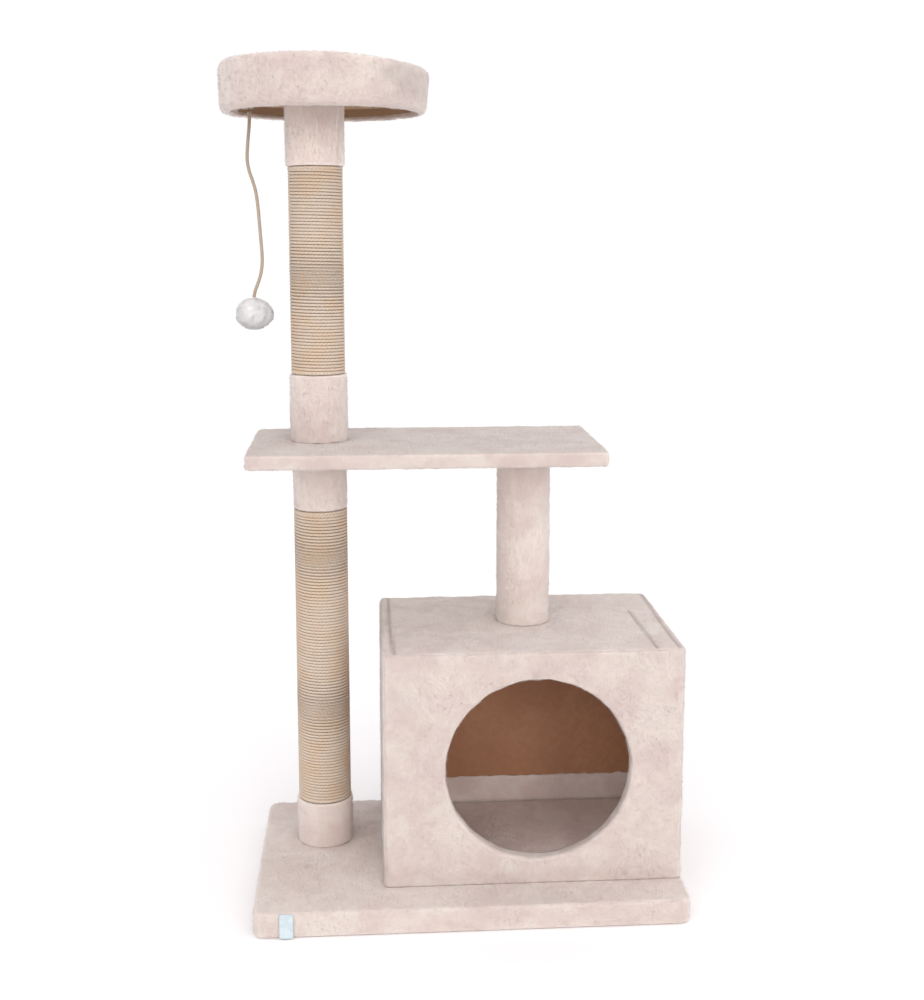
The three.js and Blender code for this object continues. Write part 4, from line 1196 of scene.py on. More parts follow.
class CAT_TREE_OT_base(bpy.types.Operator):
    """Adds the base's plush, its felt underside with staples and its small cloth label"""

    bl_idname = "cat_tree.base"
    bl_label = "Base"

    def execute(self, context):
        plush = settings("plush")
        low, high = span("base_cover")
        label_low, label_high = span("base_label_tab")
        low[:2] += plush.sunk
        high[:2] -= plush.sunk
        high[2] -= plush.sunk
        low[2] += 0.3 * MM
        corner, edge = 16 * MM - plush.sunk, 6 * MM - plush.sunk
        xs, ys, zs = (tidy_lines(low[i], high[i], edge, plush.grid * 0.9) for i in range(3))
        points, faces, names = box_grid(xs, ys, zs)
        centre = points[faces].mean(1)
        away = np.abs(centre[:, :2] - (low[:2] + high[:2]) / 2)
        inside = np.all(away < (high[:2] - low[:2]) / 2 - TURNED_UNDER, axis=1)
        faces = faces[~((names == "bottom") & inside)]
        points = round_box(points, low, high, corner, edge)
        points, faces = used_only(points, faces)
        pile = np.clip((points[:, 2] - low[2] - 3.2 * MM) / (2 * MM), 0.0, 1.0)
        pile[under_post(points, "lower_post_bottom_cuff") & (points[:, 2] > high[2] - edge)] = 0.0
        over = (points[:, 0] > label_low[0] - 1 * MM) & (points[:, 0] < label_high[0] + 1 * MM)
        pile[over & (points[:, 1] < low[1] + 2 * MM) & (points[:, 2] < label_high[2])] = 0.0
        spot = np.array([*PRESSED_SPOT, high[2]])
        press = fade(np.linalg.norm(points - spot, axis=1), 6 * MM)
        points[:, 2] -= press * 1.2 * MM
        pile *= 1.0 - press
        # the seam level darkens the pressed spot, and below nothing it carries painted light on the floor
        # inside the box
        values = {"pile": pile, "seam": press - self.painted_cabin_light(points)}
        mesh = shell_mesh("base_plush", points, faces, 1.8 * MM, values)
        cover = pile_on("base_plush", mesh, Tufts=plush.tufts * 0.72, Seed=21)
        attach(cover, "tree")
        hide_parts("base_cover")
        self.felt()
        self.label(label_low, label_high)
        return {"FINISHED"}

    def painted_cabin_light(self, points):
        """Painted light on the pile of the floor inside the box: how much lighter it is made, most in a
        soft patch a little right of the middle and towards the front.
        """
        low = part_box("condo_left_panel")[1][0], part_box("condo_front_panel")[1][1]
        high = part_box("condo_right_panel")[0][0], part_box("condo_back_panel")[0][1]
        room = [(points[:, i] > low[i]) & (points[:, i] < high[i]) for i in range(2)]
        middle = np.array([low[0] + 0.6 * (high[0] - low[0]), low[1] + 0.35 * (high[1] - low[1])])
        patch = fade(np.hypot(*((points[:, :2] - middle) / (1.3, 1.0)).T), 95 * MM)
        return (0.4 + 0.55 * patch) * room[0] * room[1]

    def felt(self):
        """The felt under the base, with a staple every few centimetres along its edge."""
        low, high = span("base_liner")
        xs, ys = np.linspace(low[0], high[0], 60), np.linspace(low[1], high[1], 36)
        points, faces, _ = box_grid(xs, ys, np.array([low[2], high[2]]))
        wave = [noise.noise(Vector(p) * 60.0) * 0.12 * MM for p in points]
        inner = np.abs(points[:, 2] - low[2]) < 1e-6
        points[:, 2] += np.where(inner, np.abs(wave), 0.0)
        mesh = closed_mesh("base_felt", points, faces, {})
        mesh.materials.append(material("Felt"))
        felt = add_object("base_felt", mesh)
        staples = self.staples(low, high)
        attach(felt, "tree")
        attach(staples, "tree")
        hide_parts("base_liner")

    def staples(self, low, high):
        inset = 8 * MM
        corners = [
            (low[0] + inset, low[1] + inset),
            (high[0] - inset, low[1] + inset),
            (high[0] - inset, high[1] - inset),
            (low[0] + inset, high[1] - inset),
        ]
        mesh = bpy.data.meshes.new("base_staples")
        level = float(low[2] + 0.7 * MM)
        points = [(float(x), float(y), level) for x, y in corners]
        mesh.from_pydata(points, [(0, 1), (1, 2), (2, 3), (3, 0)], [])
        values = {"Spacing": 0.06, "Width": 11 * MM, "Wire": 1.2 * MM}
        values["Finish"] = material("Zinc steel")
        return grown("base_staples", mesh, staple_tree(), values)

    def label(self, low, high):
        """A blank woven label, folded into the edge and hanging a little proud of the pile."""
        xs = np.linspace(low[0], high[0], 13)
        zs = np.linspace(low[2], high[2], 25)
        count = (len(xs), len(zs))
        front = []
        for x in xs:
            for z in zs:
                t = (z - low[2]) / (high[2] - low[2])
                wave = 0.5 * MM * math.sin(x * 420.0 + 1.3) * (1.0 - t)
                curl = 0.9 * MM * (1.0 - t) ** 2
                front.append((x, low[1] - curl + wave * 0.6, z))
        points = np.array(front)
        index = np.arange(len(points)).reshape(count)
        ring = (index[:-1, :-1], index[1:, :-1], index[1:, 1:], index[:-1, 1:])
        faces = np.stack(ring, -1).reshape(-1, 4)
        zero = np.zeros(len(points))
        mesh = shell_mesh("base_label", points, faces, 0.45 * MM, {"pile": zero})
        mesh.materials.append(material("Label cloth"))
        label = smooth(add_object("base_label", mesh))
        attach(label, "tree")
        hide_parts("base_label_tab")


def staple_tree():
    """Flat wire staples spaced along a line."""
    takes = {
        "Path": "geometry",
        "Spacing": "value",
        "Width": "value",
        "Wire": "value",
        "Finish": "material",
    }
    tree, w, start, end = new_tree("Staples", "GeometryNodeTree", takes, {"Piece": "geometry"})
    line = w.add("GeometryNodeMeshToCurve", {"Mesh": start["Path"]}).outputs[0]
    spots = w.add("GeometryNodeCurveToPoints", {"Curve": line}, mode="LENGTH")
    w.feed(spots.inputs["Length"], start["Spacing"])
    bar = w.add("GeometryNodeMeshCube")
    size = w.add("ShaderNodeCombineXYZ")
    w.feed(size.inputs[0], start["Wire"])
    w.feed(size.inputs[1], w.maths("MULTIPLY", start["Wire"], 0.5))
    w.feed(size.inputs[2], start["Width"])
    w.feed(bar.inputs["Size"], size.outputs[0])
    put = w.add("GeometryNodeInstanceOnPoints", {"Points": spots.outputs[0]})
    w.feed(put.inputs["Instance"], bar.outputs[0])
    w.feed(put.inputs["Rotation"], spots.outputs["Rotation"])
    real = w.add("GeometryNodeRealizeInstances", {"Geometry": put.outputs[0]})
    done = w.add("GeometryNodeSetMaterial", {"Geometry": real.outputs[0]})
    w.feed(done.inputs["Material"], start["Finish"])
    w.feed(end[0], done.outputs[0])
    return tree


class CAT_TREE_OT_condo(bpy.types.Operator):
    """Adds the box's plush: front with its lined doorway, sides, back, top and inner hem"""

    bl_idname = "cat_tree.condo"
    bl_label = "Box covers"

    door_turn = 4.5 * MM

    def execute(self, context):
        plush = settings("plush")
        low, high = span("condo_cover")
        low[:2] += plush.sunk
        high[:2] -= plush.sunk
        high[2] -= plush.sunk
        low[2] -= plush.sunk
        door = np.array(DOOR[:2])
        half = 136 * MM
        corner, edge = 9 * MM - plush.sunk, 6 * MM - plush.sunk
        stops = ((door[0] - half, door[0] + half), (), (door[1] - half, door[1] + half))
        cell = plush.grid * 0.62
        lines = [tidy_lines(low[i], high[i], edge, cell, stops[i]) for i in range(3)]
        points, faces, names = box_grid(*lines)
        centre = points[faces].mean(1)
        hole = (np.abs(centre[:, 0] - door[0]) < half) & (np.abs(centre[:, 2] - door[1]) < half)
        hole &= names == "front"
        faces, names = faces[~hole & (names != "bottom")], names[~hole & (names != "bottom")]
        flat_bottom = points[:, 2] < low[2] + edge
        rounded = round_box(points, low, high, corner, edge)
        side = points.copy()
        side[:, 2] = (low[2] + high[2]) / 2
        plan = round_box(side, low, high, corner, edge)
        rounded[flat_bottom, :2] = plan[flat_bottom, :2]
        rounded[flat_bottom, 2] = points[flat_bottom, 2]
        depth = span("condo_front_panel")[1][1] + 0.4 * MM
        points, faces, names = self.doorway(
            points, rounded, faces, names, door, half, low[1], depth
        )
        top = (low[2] + high[2]) / 2 + (high[2] - low[2]) / 2
        seams = self.seams(low, high, top)
        level = seam_level(points, seams, 5 * MM)
        points[:, 2] -= np.where(points[:, 2] > top - 1 * MM, level * 1.3 * MM, 0.0)
        pile = np.clip((points[:, 2] - low[2]) / (4 * MM) + 0.3, 0.0, 1.0) * (1.0 - 0.85 * level)
        pile[under_post(points, "short_post_cover") & (points[:, 2] > top - edge)] = 0.0
        facing = point_normals(points, faces)
        lumps = [noise.noise(Vector(p) * 62.0) for p in points]
        points += facing * (np.array(lumps) * pile * plush.lump * 0.8)[:, None]
        parts = {
            "box_front_plush": np.isin(names, ["front", "door"]),
            "box_left_plush": names == "left",
            "box_right_plush": names == "right",
            "box_back_plush": names == "back",
            "box_top_plush": names == "top",
        }
        for seed, (name, chosen) in enumerate(parts.items()):
            some = used_only(points, faces[chosen], pile, level)
            values = {"pile": some[2], "seam": some[3]}
            mesh = shell_mesh(name, some[0], some[1], 1.5 * MM, values)
            piece = pile_on(name, mesh, Seed=31 + seed, Lump=0.0)
            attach(piece, "tree")
            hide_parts("condo_cover")
        self.hem(plush)
        return {"FINISHED"}

    def seams(self, low, high, top):
        """The lines where the sides' fabric is folded over and closed on the box's top."""
        left, right = low[0] + 12 * MM, high[0] - 9 * MM
        front, back = low[1], high[1]
        return [
            ((left, back - 8 * MM, top), (left - 1 * MM, (front + back) / 2, top)),
            ((left - 1 * MM, (front + back) / 2, top), (left + 3 * MM, front + 6 * MM, top)),
            ((right + 4 * MM, back - 4 * MM, top), (right, front + 60 * MM, top)),
            ((right, front + 60 * MM, top), (right + 2 * MM, front + 8 * MM, top)),
            ((right - 33 * MM, front + 190 * MM, top), (right - 29 * MM, front + 8 * MM, top)),
        ]

    def doorway(self, points, rounded, faces, names, door, half, front, depth):
        """Joins the front's opening to the doorway's rim, turned round the edge and in to the room."""
        lining = DOOR[2] + 1.2 * MM
        rim = lining + self.door_turn
        on_front = np.abs(points[:, 1] - points[:, 1].min()) < 1e-7
        gap = np.abs(points[:, [0, 2]] - door)
        square = on_front & (np.abs(gap.max(1) - half) < 1e-6)
        start = np.nonzero(square)[0]
        offset = points[start][:, [0, 2]] - door
        share = self.square_angle(offset / half)
        order = np.argsort(share)
        start, share = start[order], share[order]
        ring = np.column_stack([np.cos(share), np.sin(share)])
        rows = []
        outer = points[start][:, [0, 2]] - door
        for step in (0.25, 0.5, 0.75, 1.0):
            plan = outer * (1 - step) + ring * rim * step
            rows.append(np.column_stack([plan[:, 0], np.full(len(plan), front), plan[:, 1]]))
        for angle in (22.5, 45.0, 67.5, 90.0):
            turn = math.radians(angle)
            radius = rim - self.door_turn * math.sin(turn)
            y = front + self.door_turn * (1 - math.cos(turn))
            rows.append(self.hoop(ring, radius, y))
        for step in (0.35, 0.7, 1.0):
            y = front + self.door_turn + (depth - front - self.door_turn) * step
            rows.append(self.hoop(ring, lining, y))
        count = len(start)
        total = len(points)
        index = [start]
        for number, row in enumerate(rows):
            row[:, 0] += door[0]
            row[:, 2] += door[1]
            index.append(total + number * count + np.arange(count))
        quads = []
        for a, b in zip(index, index[1:]):
            quads.append(np.column_stack([a, np.roll(a, -1), np.roll(b, -1), b]))
        quads = np.concatenate(quads)[:, ::-1]
        every = np.concatenate([rounded, *rows])
        tags = np.concatenate([names, np.full(len(quads), "door")])
        whole = np.concatenate([faces, quads])
        facing = face_normals(every, quads[:1])
        if facing[0][1] > 0:
            whole = np.concatenate([faces, quads[:, ::-1]])
        return every, whole, tags

    def hoop(self, ring, radius, y):
        """The doorway's ring at a radius and a depth."""
        return np.column_stack([ring[:, 0] * radius, np.full(len(ring), y), ring[:, 1] * radius])

    def square_angle(self, offset):
        """An angle that grows evenly along the sides of a square."""
        x, z = offset[:, 0], offset[:, 1]
        angle = np.zeros(len(x))
        right = (x >= np.abs(z) - 1e-9) & (x > 0)
        top = (z >= np.abs(x) - 1e-9) & (z > 0) & ~right
        left = (-x >= np.abs(z) - 1e-9) & (x < 0) & ~right & ~top
        bottom = ~right & ~top & ~left
        quarter = math.pi / 4
        angle[right] = z[right] * quarter
        angle[top] = math.pi / 2 - x[top] * quarter
        angle[left] = math.pi - z[left] * quarter
        angle[bottom] = 1.5 * math.pi + x[bottom] * quarter
        return angle

    def hem(self, plush):
        """The fabric turned up inside the box on each wall, and kept under the doorway's sill."""
        x0, x1 = span("condo_left_panel")[1][0], span("condo_right_panel")[0][0]
        y0, y1 = span("condo_front_panel")[1][1], span("condo_back_panel")[0][1]
        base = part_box("base_cover")[1][2]
        low, high = base - plush.sunk, base + HEM_HEIGHT
        thick = 1.4 * MM
        count_x = max(8, round((x1 - x0) / plush.grid))
        count_y = max(8, round((y1 - y0) / plush.grid))
        corners = [
            np.column_stack([np.linspace(x0, x1, count_x, False), np.full(count_x, y1)]),
            np.column_stack([np.full(count_y, x1), np.linspace(y1, y0, count_y, False)]),
            np.column_stack([np.linspace(x1, x0, count_x, False), np.full(count_x, y0)]),
            np.column_stack([np.full(count_y, x0), np.linspace(y0, y1, count_y, False)]),
        ]
        ring = np.concatenate(corners)
        middle = np.array([(x0 + x1) / 2, (y0 + y1) / 2])
        size = np.array([(x1 - x0) / 2, (y1 - y0) / 2])
        ring = middle + (ring - middle) * (size - thick) / size
        rows = 8
        points = []
        for number in range(rows):
            for x, y in ring:
                share = number / (rows - 1)
                ragged = 2.6 * MM * noise.noise(Vector((x, y, 0.3)) * 90.0)
                room = high - low
                aside = abs(x - DOOR[0])
                if y < middle[1] and aside < DOOR[2]:
                    sill = DOOR[1] - math.sqrt(DOOR[2] ** 2 - aside**2) - 4 * MM
                    room = min(room, sill - low)
                points.append((x, y, low + (room + ragged) * share))
        points = np.array(points)
        index = np.arange(len(points)).reshape(rows, len(ring))
        nxt = np.roll(index, -1, axis=1)
        quads = np.stack([index[:-1], nxt[:-1], nxt[1:], index[1:]], -1).reshape(-1, 4)
        facing = face_normals(points, quads[:1])[0]
        inward = np.array([0.0, -1.0, 0.0])
        if facing @ inward < 0:
            quads = quads[:, ::-1]
        # painted light: the hem is made paler, as if more light reached it inside the box
        values = {"pile": np.ones(len(points)), "seam": np.full(len(points), HEM_PAINTED_LIGHT)}
        mesh = shell_mesh("box_hem_plush", points, quads, thick, values)
        piece = pile_on("box_hem_plush", mesh, Seed=37, Droop=-0.9, Pile=4.6 * MM)
        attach(piece, "tree")
        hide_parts("condo_cover")


class CAT_TREE_OT_shelf(bpy.types.Operator):
    """Adds the shelf's plush cover"""

    bl_idname = "cat_tree.shelf"
    bl_label = "Shelf cover"

    def execute(self, context):
        plush = settings("plush")
        low, high = span("shelf_cover")
        low += plush.sunk
        high -= plush.sunk
        corner, edge = 10 * MM - plush.sunk, 6 * MM - plush.sunk
        lines = [tidy_lines(low[i], high[i], edge, plush.grid) for i in range(3)]
        points, faces, _ = box_grid(*lines)
        points = round_box(points, low, high, corner, edge)
        seam_y = (low[1] + high[1]) / 2
        seams = [((low[0] + 8 * MM, seam_y, low[2]), (high[0] - 8 * MM, seam_y, low[2]))]
        level = seam_level(points, seams, 5 * MM)
        points[:, 2] += level * 1.0 * MM
        pile = 1.0 - 0.85 * level
        for node in ("upper_post_bottom_cuff", "lower_post_top_cuff", "short_post_cover"):
            upper = span(node)[0][2] > high[2] - edge
            side = points[:, 2] > high[2] - edge if upper else points[:, 2] < low[2] + edge
            pile[under_post(points, node) & side] = 0.0
        # painted shade: the shelf's top is darkened by a seam level of 0.4, for less light falling on it
        level = np.maximum(level, np.where(points[:, 2] > high[2] - 1 * MM, 0.4, 0.0))
        mesh = shell_mesh("shelf_plush", points, faces, 1.8 * MM, {"pile": pile, "seam": level})
        piece = pile_on("shelf_plush", mesh, Tufts=plush.tufts * 0.8, Seed=41)
        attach(piece, "tree")
        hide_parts("shelf_cover")
        return {"FINISHED"}


class CAT_TREE_OT_cuffs(bpy.types.Operator):
    """Adds the plush sleeves on the posts"""

    bl_idname = "cat_tree.cuffs"
    bl_label = "Post sleeves"

    def execute(self, context):
        sleeves = (
            ("lower_post_bottom_cuff", "base_sleeve_plush", (0.6 * MM, 3 * MM), 150.0),
            ("lower_post_top_cuff", "under_shelf_sleeve_plush", (3 * MM, 0.6 * MM), 100.0),
            ("upper_post_bottom_cuff", "over_shelf_sleeve_plush", (0.6 * MM, 3 * MM), 160.0),
            ("upper_post_top_cuff", "under_bed_sleeve_plush", (3 * MM, 0.6 * MM), -32.0),
            ("short_post_cover", "short_post_plush", (0.6 * MM, 0.6 * MM), 130.0),
        )
        for seed, (node, name, edges, seam) in enumerate(sleeves):
            piece = self.sleeve(node, name, edges, math.radians(seam), 51 + seed)
            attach(piece, "tree")
            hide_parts(node)
        return {"FINISHED"}

    def sleeve(self, node, name, edges, seam, seed):
        """One sleeve; an end with a small edge stands on a board's cloth, down in its pile."""
        plush = settings("plush")
        under, over = edges
        low, high = span(node)
        axis = (low[:2] + high[:2]) / 2
        # painted light: each sleeve is made paler, most the one under the bed, where the bed's shade
        # falls
        sleeve_painted_light = 0.55 if node == "upper_post_top_cuff" else 0.2
        radius = (high[0] - low[0]) / 2 - plush.sunk
        bottom = low[2] + (0.4 * MM if under > 1 * MM else -plush.sunk)
        top = high[2] - (0.4 * MM if over > 1 * MM or node == "upper_post_top_cuff" else -plush.sunk)
        rows = max(6, round((top - bottom) / (plush.grid * 0.8)))
        heights = np.linspace(bottom + under, top - over, rows)
        profile = [(radius, z) for z in heights]
        arc = [math.radians(a) for a in (25, 50, 75)]
        profile += [(radius - over * (1 - math.cos(a)), top - over * (1 - math.sin(a))) for a in arc]
        profile += [(SLEEVE_CORE, top), (SLEEVE_CORE, (bottom + top) / 2), (SLEEVE_CORE, bottom)]
        profile += [
            (radius - under * (1 - math.cos(a)), bottom + under * (1 - math.sin(a)))
            for a in reversed(arc)
        ]
        count = 56
        points, marks, pile = [], [], []
        twist = 0.35
        for r, z in profile:
            for i in range(count):
                angle = 2 * math.pi * i / count
                share = (z - bottom) / (top - bottom)
                gap = math.remainder(angle - seam - twist * (share - 0.5), 2 * math.pi) * radius
                level = float(fade(np.array(gap), 5 * MM)) if r > SLEEVE_CORE + 1 * MM else 0.0
                wide = r
                if r > SLEEVE_CORE + 1 * MM:
                    spot = Vector((math.cos(angle), math.sin(angle), z * 12.0))
                    wide = r + 0.5 * MM * noise.noise(spot * 2.2 + Vector((seed, 0, 0)))
                    wide -= 1.1 * MM * level
                points.append((axis[0] + wide * math.cos(angle), axis[1] + wide * math.sin(angle), z))
                # seam level: the real seam, less the painted light
                marks.append(level * 0.45 - sleeve_painted_light)
                pile.append((1.0 - 0.7 * level) if r > SLEEVE_CORE + 1 * MM else 0.0)
        points = np.array(points)
        values = {"pile": np.array(pile), "seam": np.array(marks)}
        mesh = closed_mesh(name, points, turned_faces(len(profile), count), values)
        return pile_on(name, mesh, Seed=seed, Lump=plush.lump * 0.8)


class CAT_TREE_OT_sisal(bpy.types.Operator):
    """Winds the sisal rope round the long post"""

    bl_idname = "cat_tree.sisal"
    bl_label = "Sisal"

    def execute(self, context):
        for node, name in (
            ("lower_post_sisal", "lower_sisal_rope"),
            ("upper_post_sisal", "upper_sisal_rope"),
        ):
            piece = self.winding(node, name)
            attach(piece, "tree")
            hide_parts(node)
        return {"FINISHED"}

    def winding(self, node, name):
        rope = settings("rope")
        low, high = span(node)
        axis = (low[:2] + high[:2]) / 2
        radius = (high[0] - low[0]) / 2 - rope.thickness / 2
        height = high[2] - low[2] - rope.thickness
        turns = round(height / rope.pitch)
        pitch = height / turns
        start = low[2] + rope.thickness / 2
        values = {
            "Turns": float(turns + 2),
            "Height": float(height + 2 * pitch),
            "Radius": float(radius),
            "Axis": (float(axis[0]), float(axis[1]), float(start - pitch)),
            "Lowest": float(start),
            "Highest": float(start + height),
            "Thickness": rope.thickness * 1.03,
            "Steps": rope.steps,
            "Wobble": 0.45 * MM,
            "Finish": material("Sisal"),
        }
        mesh = bpy.data.meshes.new(name)
        return grown(name, mesh, winding_tree(), values)


def winding_tree():
    """A rope wound into a helix, with how far along and round it each point is."""
    known = bpy.data.node_groups.get("Rope winding")
    if known:
        return known
    takes = {
        "Start": "geometry",
        "Turns": "value",
        "Height": "value",
        "Radius": "value",
        "Axis": "vector",
        "Lowest": "value",
        "Highest": "value",
        "Thickness": "value",
        "Steps": "whole",
        "Wobble": "value",
        "Finish": "material",
    }
    gives = {"Piece": "geometry"}
    tree, w, start, end = new_tree("Rope winding", "GeometryNodeTree", takes, gives)
    coil = w.add("GeometryNodeCurveSpiral", {"Resolution": start["Steps"]})
    for socket, word in (
        ("Rotations", "Turns"),
        ("Start Radius", "Radius"),
        ("End Radius", "Radius"),
        ("Height", "Height"),
    ):
        w.feed(coil.inputs[socket], start[word])
    place = w.add("GeometryNodeInputPosition").outputs[0]
    stretch = w.vector("MULTIPLY", place, (14.0, 14.0, 60.0))
    shake = w.noise(stretch, 1.0, 3.0).outputs["Color"]
    shake = w.scaled(w.vector("SUBTRACT", shake, (0.5, 0.5, 0.5)), start["Wobble"])
    moved = w.add("GeometryNodeSetPosition", {"Geometry": coil.outputs[0]})
    w.feed(moved.inputs["Offset"], w.vector("ADD", start["Axis"], shake))
    spot = w.add("ShaderNodeSeparateXYZ", {0: place}).outputs
    level = w.maths("MINIMUM", w.maths("MAXIMUM", spot[2], start["Lowest"]), start["Highest"])
    ends = w.add("ShaderNodeCombineXYZ", {0: spot[0], 1: spot[1], 2: level}).outputs[0]
    moved = w.add("GeometryNodeSetPosition", {"Geometry": moved.outputs[0], "Position": ends})
    rope_skin(w, start, end, moved.outputs[0], WINDING_SIDES)
    return tree


# ---------------------------------------------------------------------------------------------
# Bed


def swollen(name, mesh, cell, pressure, cap):
    """Fills a closed form by cloth simulation and returns it as a plain mesh."""
    obj = add_object(name, mesh)
    bpy.context.view_layer.objects.active = obj
    remesh = obj.modifiers.new("Even", "REMESH")
    remesh.mode = "VOXEL"
    remesh.voxel_size = cell
    graph = bpy.context.evaluated_depsgraph_get()
    even = bpy.data.meshes.new_from_object(obj.evaluated_get(graph), depsgraph=graph)
    obj.modifiers.remove(remesh)
    obj.data = even
    rest = np.zeros(len(even.vertices) * 3)
    even.vertices.foreach_get("co", rest)
    rest = rest.reshape(-1, 3)
    cloth = obj.modifiers.new("Filling", "CLOTH")
    cloth.settings.use_pressure = True
    cloth.settings.uniform_pressure_force = pressure
    cloth.settings.quality = 5
    cloth.settings.mass = 0.3
    cloth.settings.tension_stiffness = 12
    cloth.settings.compression_stiffness = 12
    cloth.settings.shear_stiffness = 4
    cloth.settings.bending_stiffness = 0.6
    cloth.settings.effector_weights.gravity = 0.0
    cloth.collision_settings.use_collision = False
    scene = bpy.context.scene
    for number in range(1, CLOTH_FRAMES + 1):
        scene.frame_set(number)
    graph = bpy.context.evaluated_depsgraph_get()
    blown = obj.evaluated_get(graph).data
    full = np.zeros(len(blown.vertices) * 3)
    blown.vertices.foreach_get("co", full)
    step = full.reshape(-1, 3) - rest
    length = np.linalg.norm(step, axis=1)
    limit = np.minimum(1.0, cap / np.maximum(length, 1e-9))
    obj.modifiers.remove(cloth)
    scene.frame_set(1)
    even.vertices.foreach_set("co", (rest + step * limit[:, None]).ravel())
    even.update()
    return obj


def subdivided(obj):
    """One level of subdivision, applied."""
    modifier = obj.modifiers.new("Smooth", "SUBSURF")
    modifier.levels = 1
    modifier.render_levels = 1
    graph = bpy.context.evaluated_depsgraph_get()
    made = bpy.data.meshes.new_from_object(obj.evaluated_get(graph), depsgraph=graph)
    obj.modifiers.remove(modifier)
    obj.data = made
    return made


def mesh_points(mesh):
    points = np.zeros(len(mesh.vertices) * 3)
    mesh.vertices.foreach_get("co", points)
    return points.reshape(-1, 3)


def lathe(name, axis, profile, count):
    """A ring turned from a closed outline."""
    points = []
    for r, z in profile:
        for i in range(count):
            angle = 2 * math.pi * i / count
            points.append((axis[0] + r * math.cos(angle), axis[1] + r * math.sin(angle), z))
    return closed_mesh(name, np.array(points), turned_faces(len(profile), count), {})


class CAT_TREE_OT_bed_rim(bpy.types.Operator):
    """Adds the bed's padded plush rim"""

    bl_idname = "cat_tree.bed_rim"
    bl_label = "Bed rim"

    def execute(self, context):
        plush, bed = settings("plush"), settings("bed")
        low, high = span("bed_rim_cover")
        pad_low, pad_high = span("bed_pad")
        axis = (low[:2] + high[:2]) / 2
        outer = (high[0] - low[0]) / 2 - plush.sunk - bed.swell * 0.45
        inner = (pad_high[0] - pad_low[0]) / 2 + plush.sunk + bed.swell * 0.3
        bottom, top = low[2] + plush.sunk, high[2] - plush.sunk - bed.swell * 0.4
        turn = 9 * MM
        hoop_low, hoop_high = span("bed_hoop")
        hoop = (hoop_high[0] - hoop_low[0]) / 2 + 1.5 * MM
        board_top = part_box("bed_board")[1][2] + 1.5 * MM
        lip = hoop - 9 * MM
        profile = []
        for cx, cz, first in (
            (outer - turn, bottom + turn, -90),
            (outer - turn, top - turn, 0),
            (inner + turn, top - turn, 90),
        ):
            for step in range(6):
                angle = math.radians(first + 18 * step)
                profile.append((cx + turn * math.cos(angle), cz + turn * math.sin(angle)))
        profile += [(inner, board_top), (hoop, board_top), (hoop, hoop_low[2] - 0.5 * MM)]
        profile += [(lip, hoop_low[2] - 1.5 * MM), (lip + 2.5 * MM, bottom)]
        profile = self.even(profile, 5 * MM)
        ring = lathe("bed_rim_plush", axis, profile, 168)
        rim = swollen("bed_rim_plush", ring, 4.5 * MM, 4.0, bed.swell)
        mesh = subdivided(rim)
        points = mesh_points(mesh)
        points = self.settle(points, axis, bottom, top, bed.sag, outer)
        mesh.vertices.foreach_set("co", points.ravel())
        level = self.seam(points, axis)
        far = np.hypot(points[:, 0] - axis[0], points[:, 1] - axis[1])
        held = (points[:, 2] > hoop_low[2] - 1 * MM) & (points[:, 2] < board_top)
        held &= far < outer - 6 * MM
        mark(mesh, "pile", np.where(held, 0.0, 1.0 - 0.8 * level))
        mark(mesh, "seam", np.maximum(level, self.brushed(points, axis, bottom, top)))
        bpy.data.objects.remove(rim)
        changes = {"Tufts": plush.tufts * 0.8, "Seed": 61, "Lump": 1.6 * MM}
        rim = pile_on("bed_rim_plush", mesh, "Bed plush", **changes)
        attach(rim, "tree")
        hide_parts("bed_rim_cover")
        return {"FINISHED"}

    def even(self, profile, cell):
        """The outline with its long stretches cut into short ones."""
        out = []
        for a, b in zip(profile, profile[1:] + profile[:1]):
            count = max(1, round(math.dist(a, b) / cell))
            out += [tuple(a[i] + (b[i] - a[i]) * n / count for i in range(2)) for n in range(count)]
        return out

    def settle(self, points, axis, bottom, top, sag, outer):
        """Lets the rim droop on its right, and gathers it a little under that side."""
        out = points.copy()
        side = points[:, 0] - axis[0]
        share = np.clip((side / outer + 0.15) / 1.15, 0.0, 1.0)
        share = share**1.6
        rise = np.clip((points[:, 2] - bottom) / (top - bottom), 0.0, 1.0)
        out[:, 2] -= sag * share * rise**1.2
        far = np.hypot(side, points[:, 1] - axis[1])
        pull = 3.5 * MM * share * (1.0 - rise) ** 2 * (far > outer - 12 * MM)
        out[:, 0] -= pull * side / np.maximum(far, 1e-9)
        out[:, 1] -= pull * (points[:, 1] - axis[1]) / np.maximum(far, 1e-9)
        return out

    def brushed(self, points, axis, bottom, top):
        """A darker patch on the right, where the pile is brushed the other way."""
        angle = np.degrees(np.arctan2(points[:, 1] - axis[1], points[:, 0] - axis[0]))
        ripple = 5.0 * np.sin((points[:, 2] - bottom) * 190.0)
        start = np.clip((angle + ripple + 58.0) / 9.0, 0.0, 1.0)
        end = np.clip((24.0 - angle) / 22.0, 0.0, 1.0)
        share = (points[:, 2] - bottom) / (top - bottom)
        upper = np.clip((1.04 - share) / 0.2, 0.0, 1.0)
        lower = np.clip((share - 0.12) / 0.2, 0.0, 1.0)
        return 0.34 * start * end * upper * lower

    def seam(self, points, axis):
        """The cross seam at the back where the rim's fabric is joined."""
        angle = np.arctan2(points[:, 1] - axis[1], points[:, 0] - axis[0])
        far = np.hypot(points[:, 0] - axis[0], points[:, 1] - axis[1])
        return fade((angle - math.radians(105)) * far, 5 * MM)


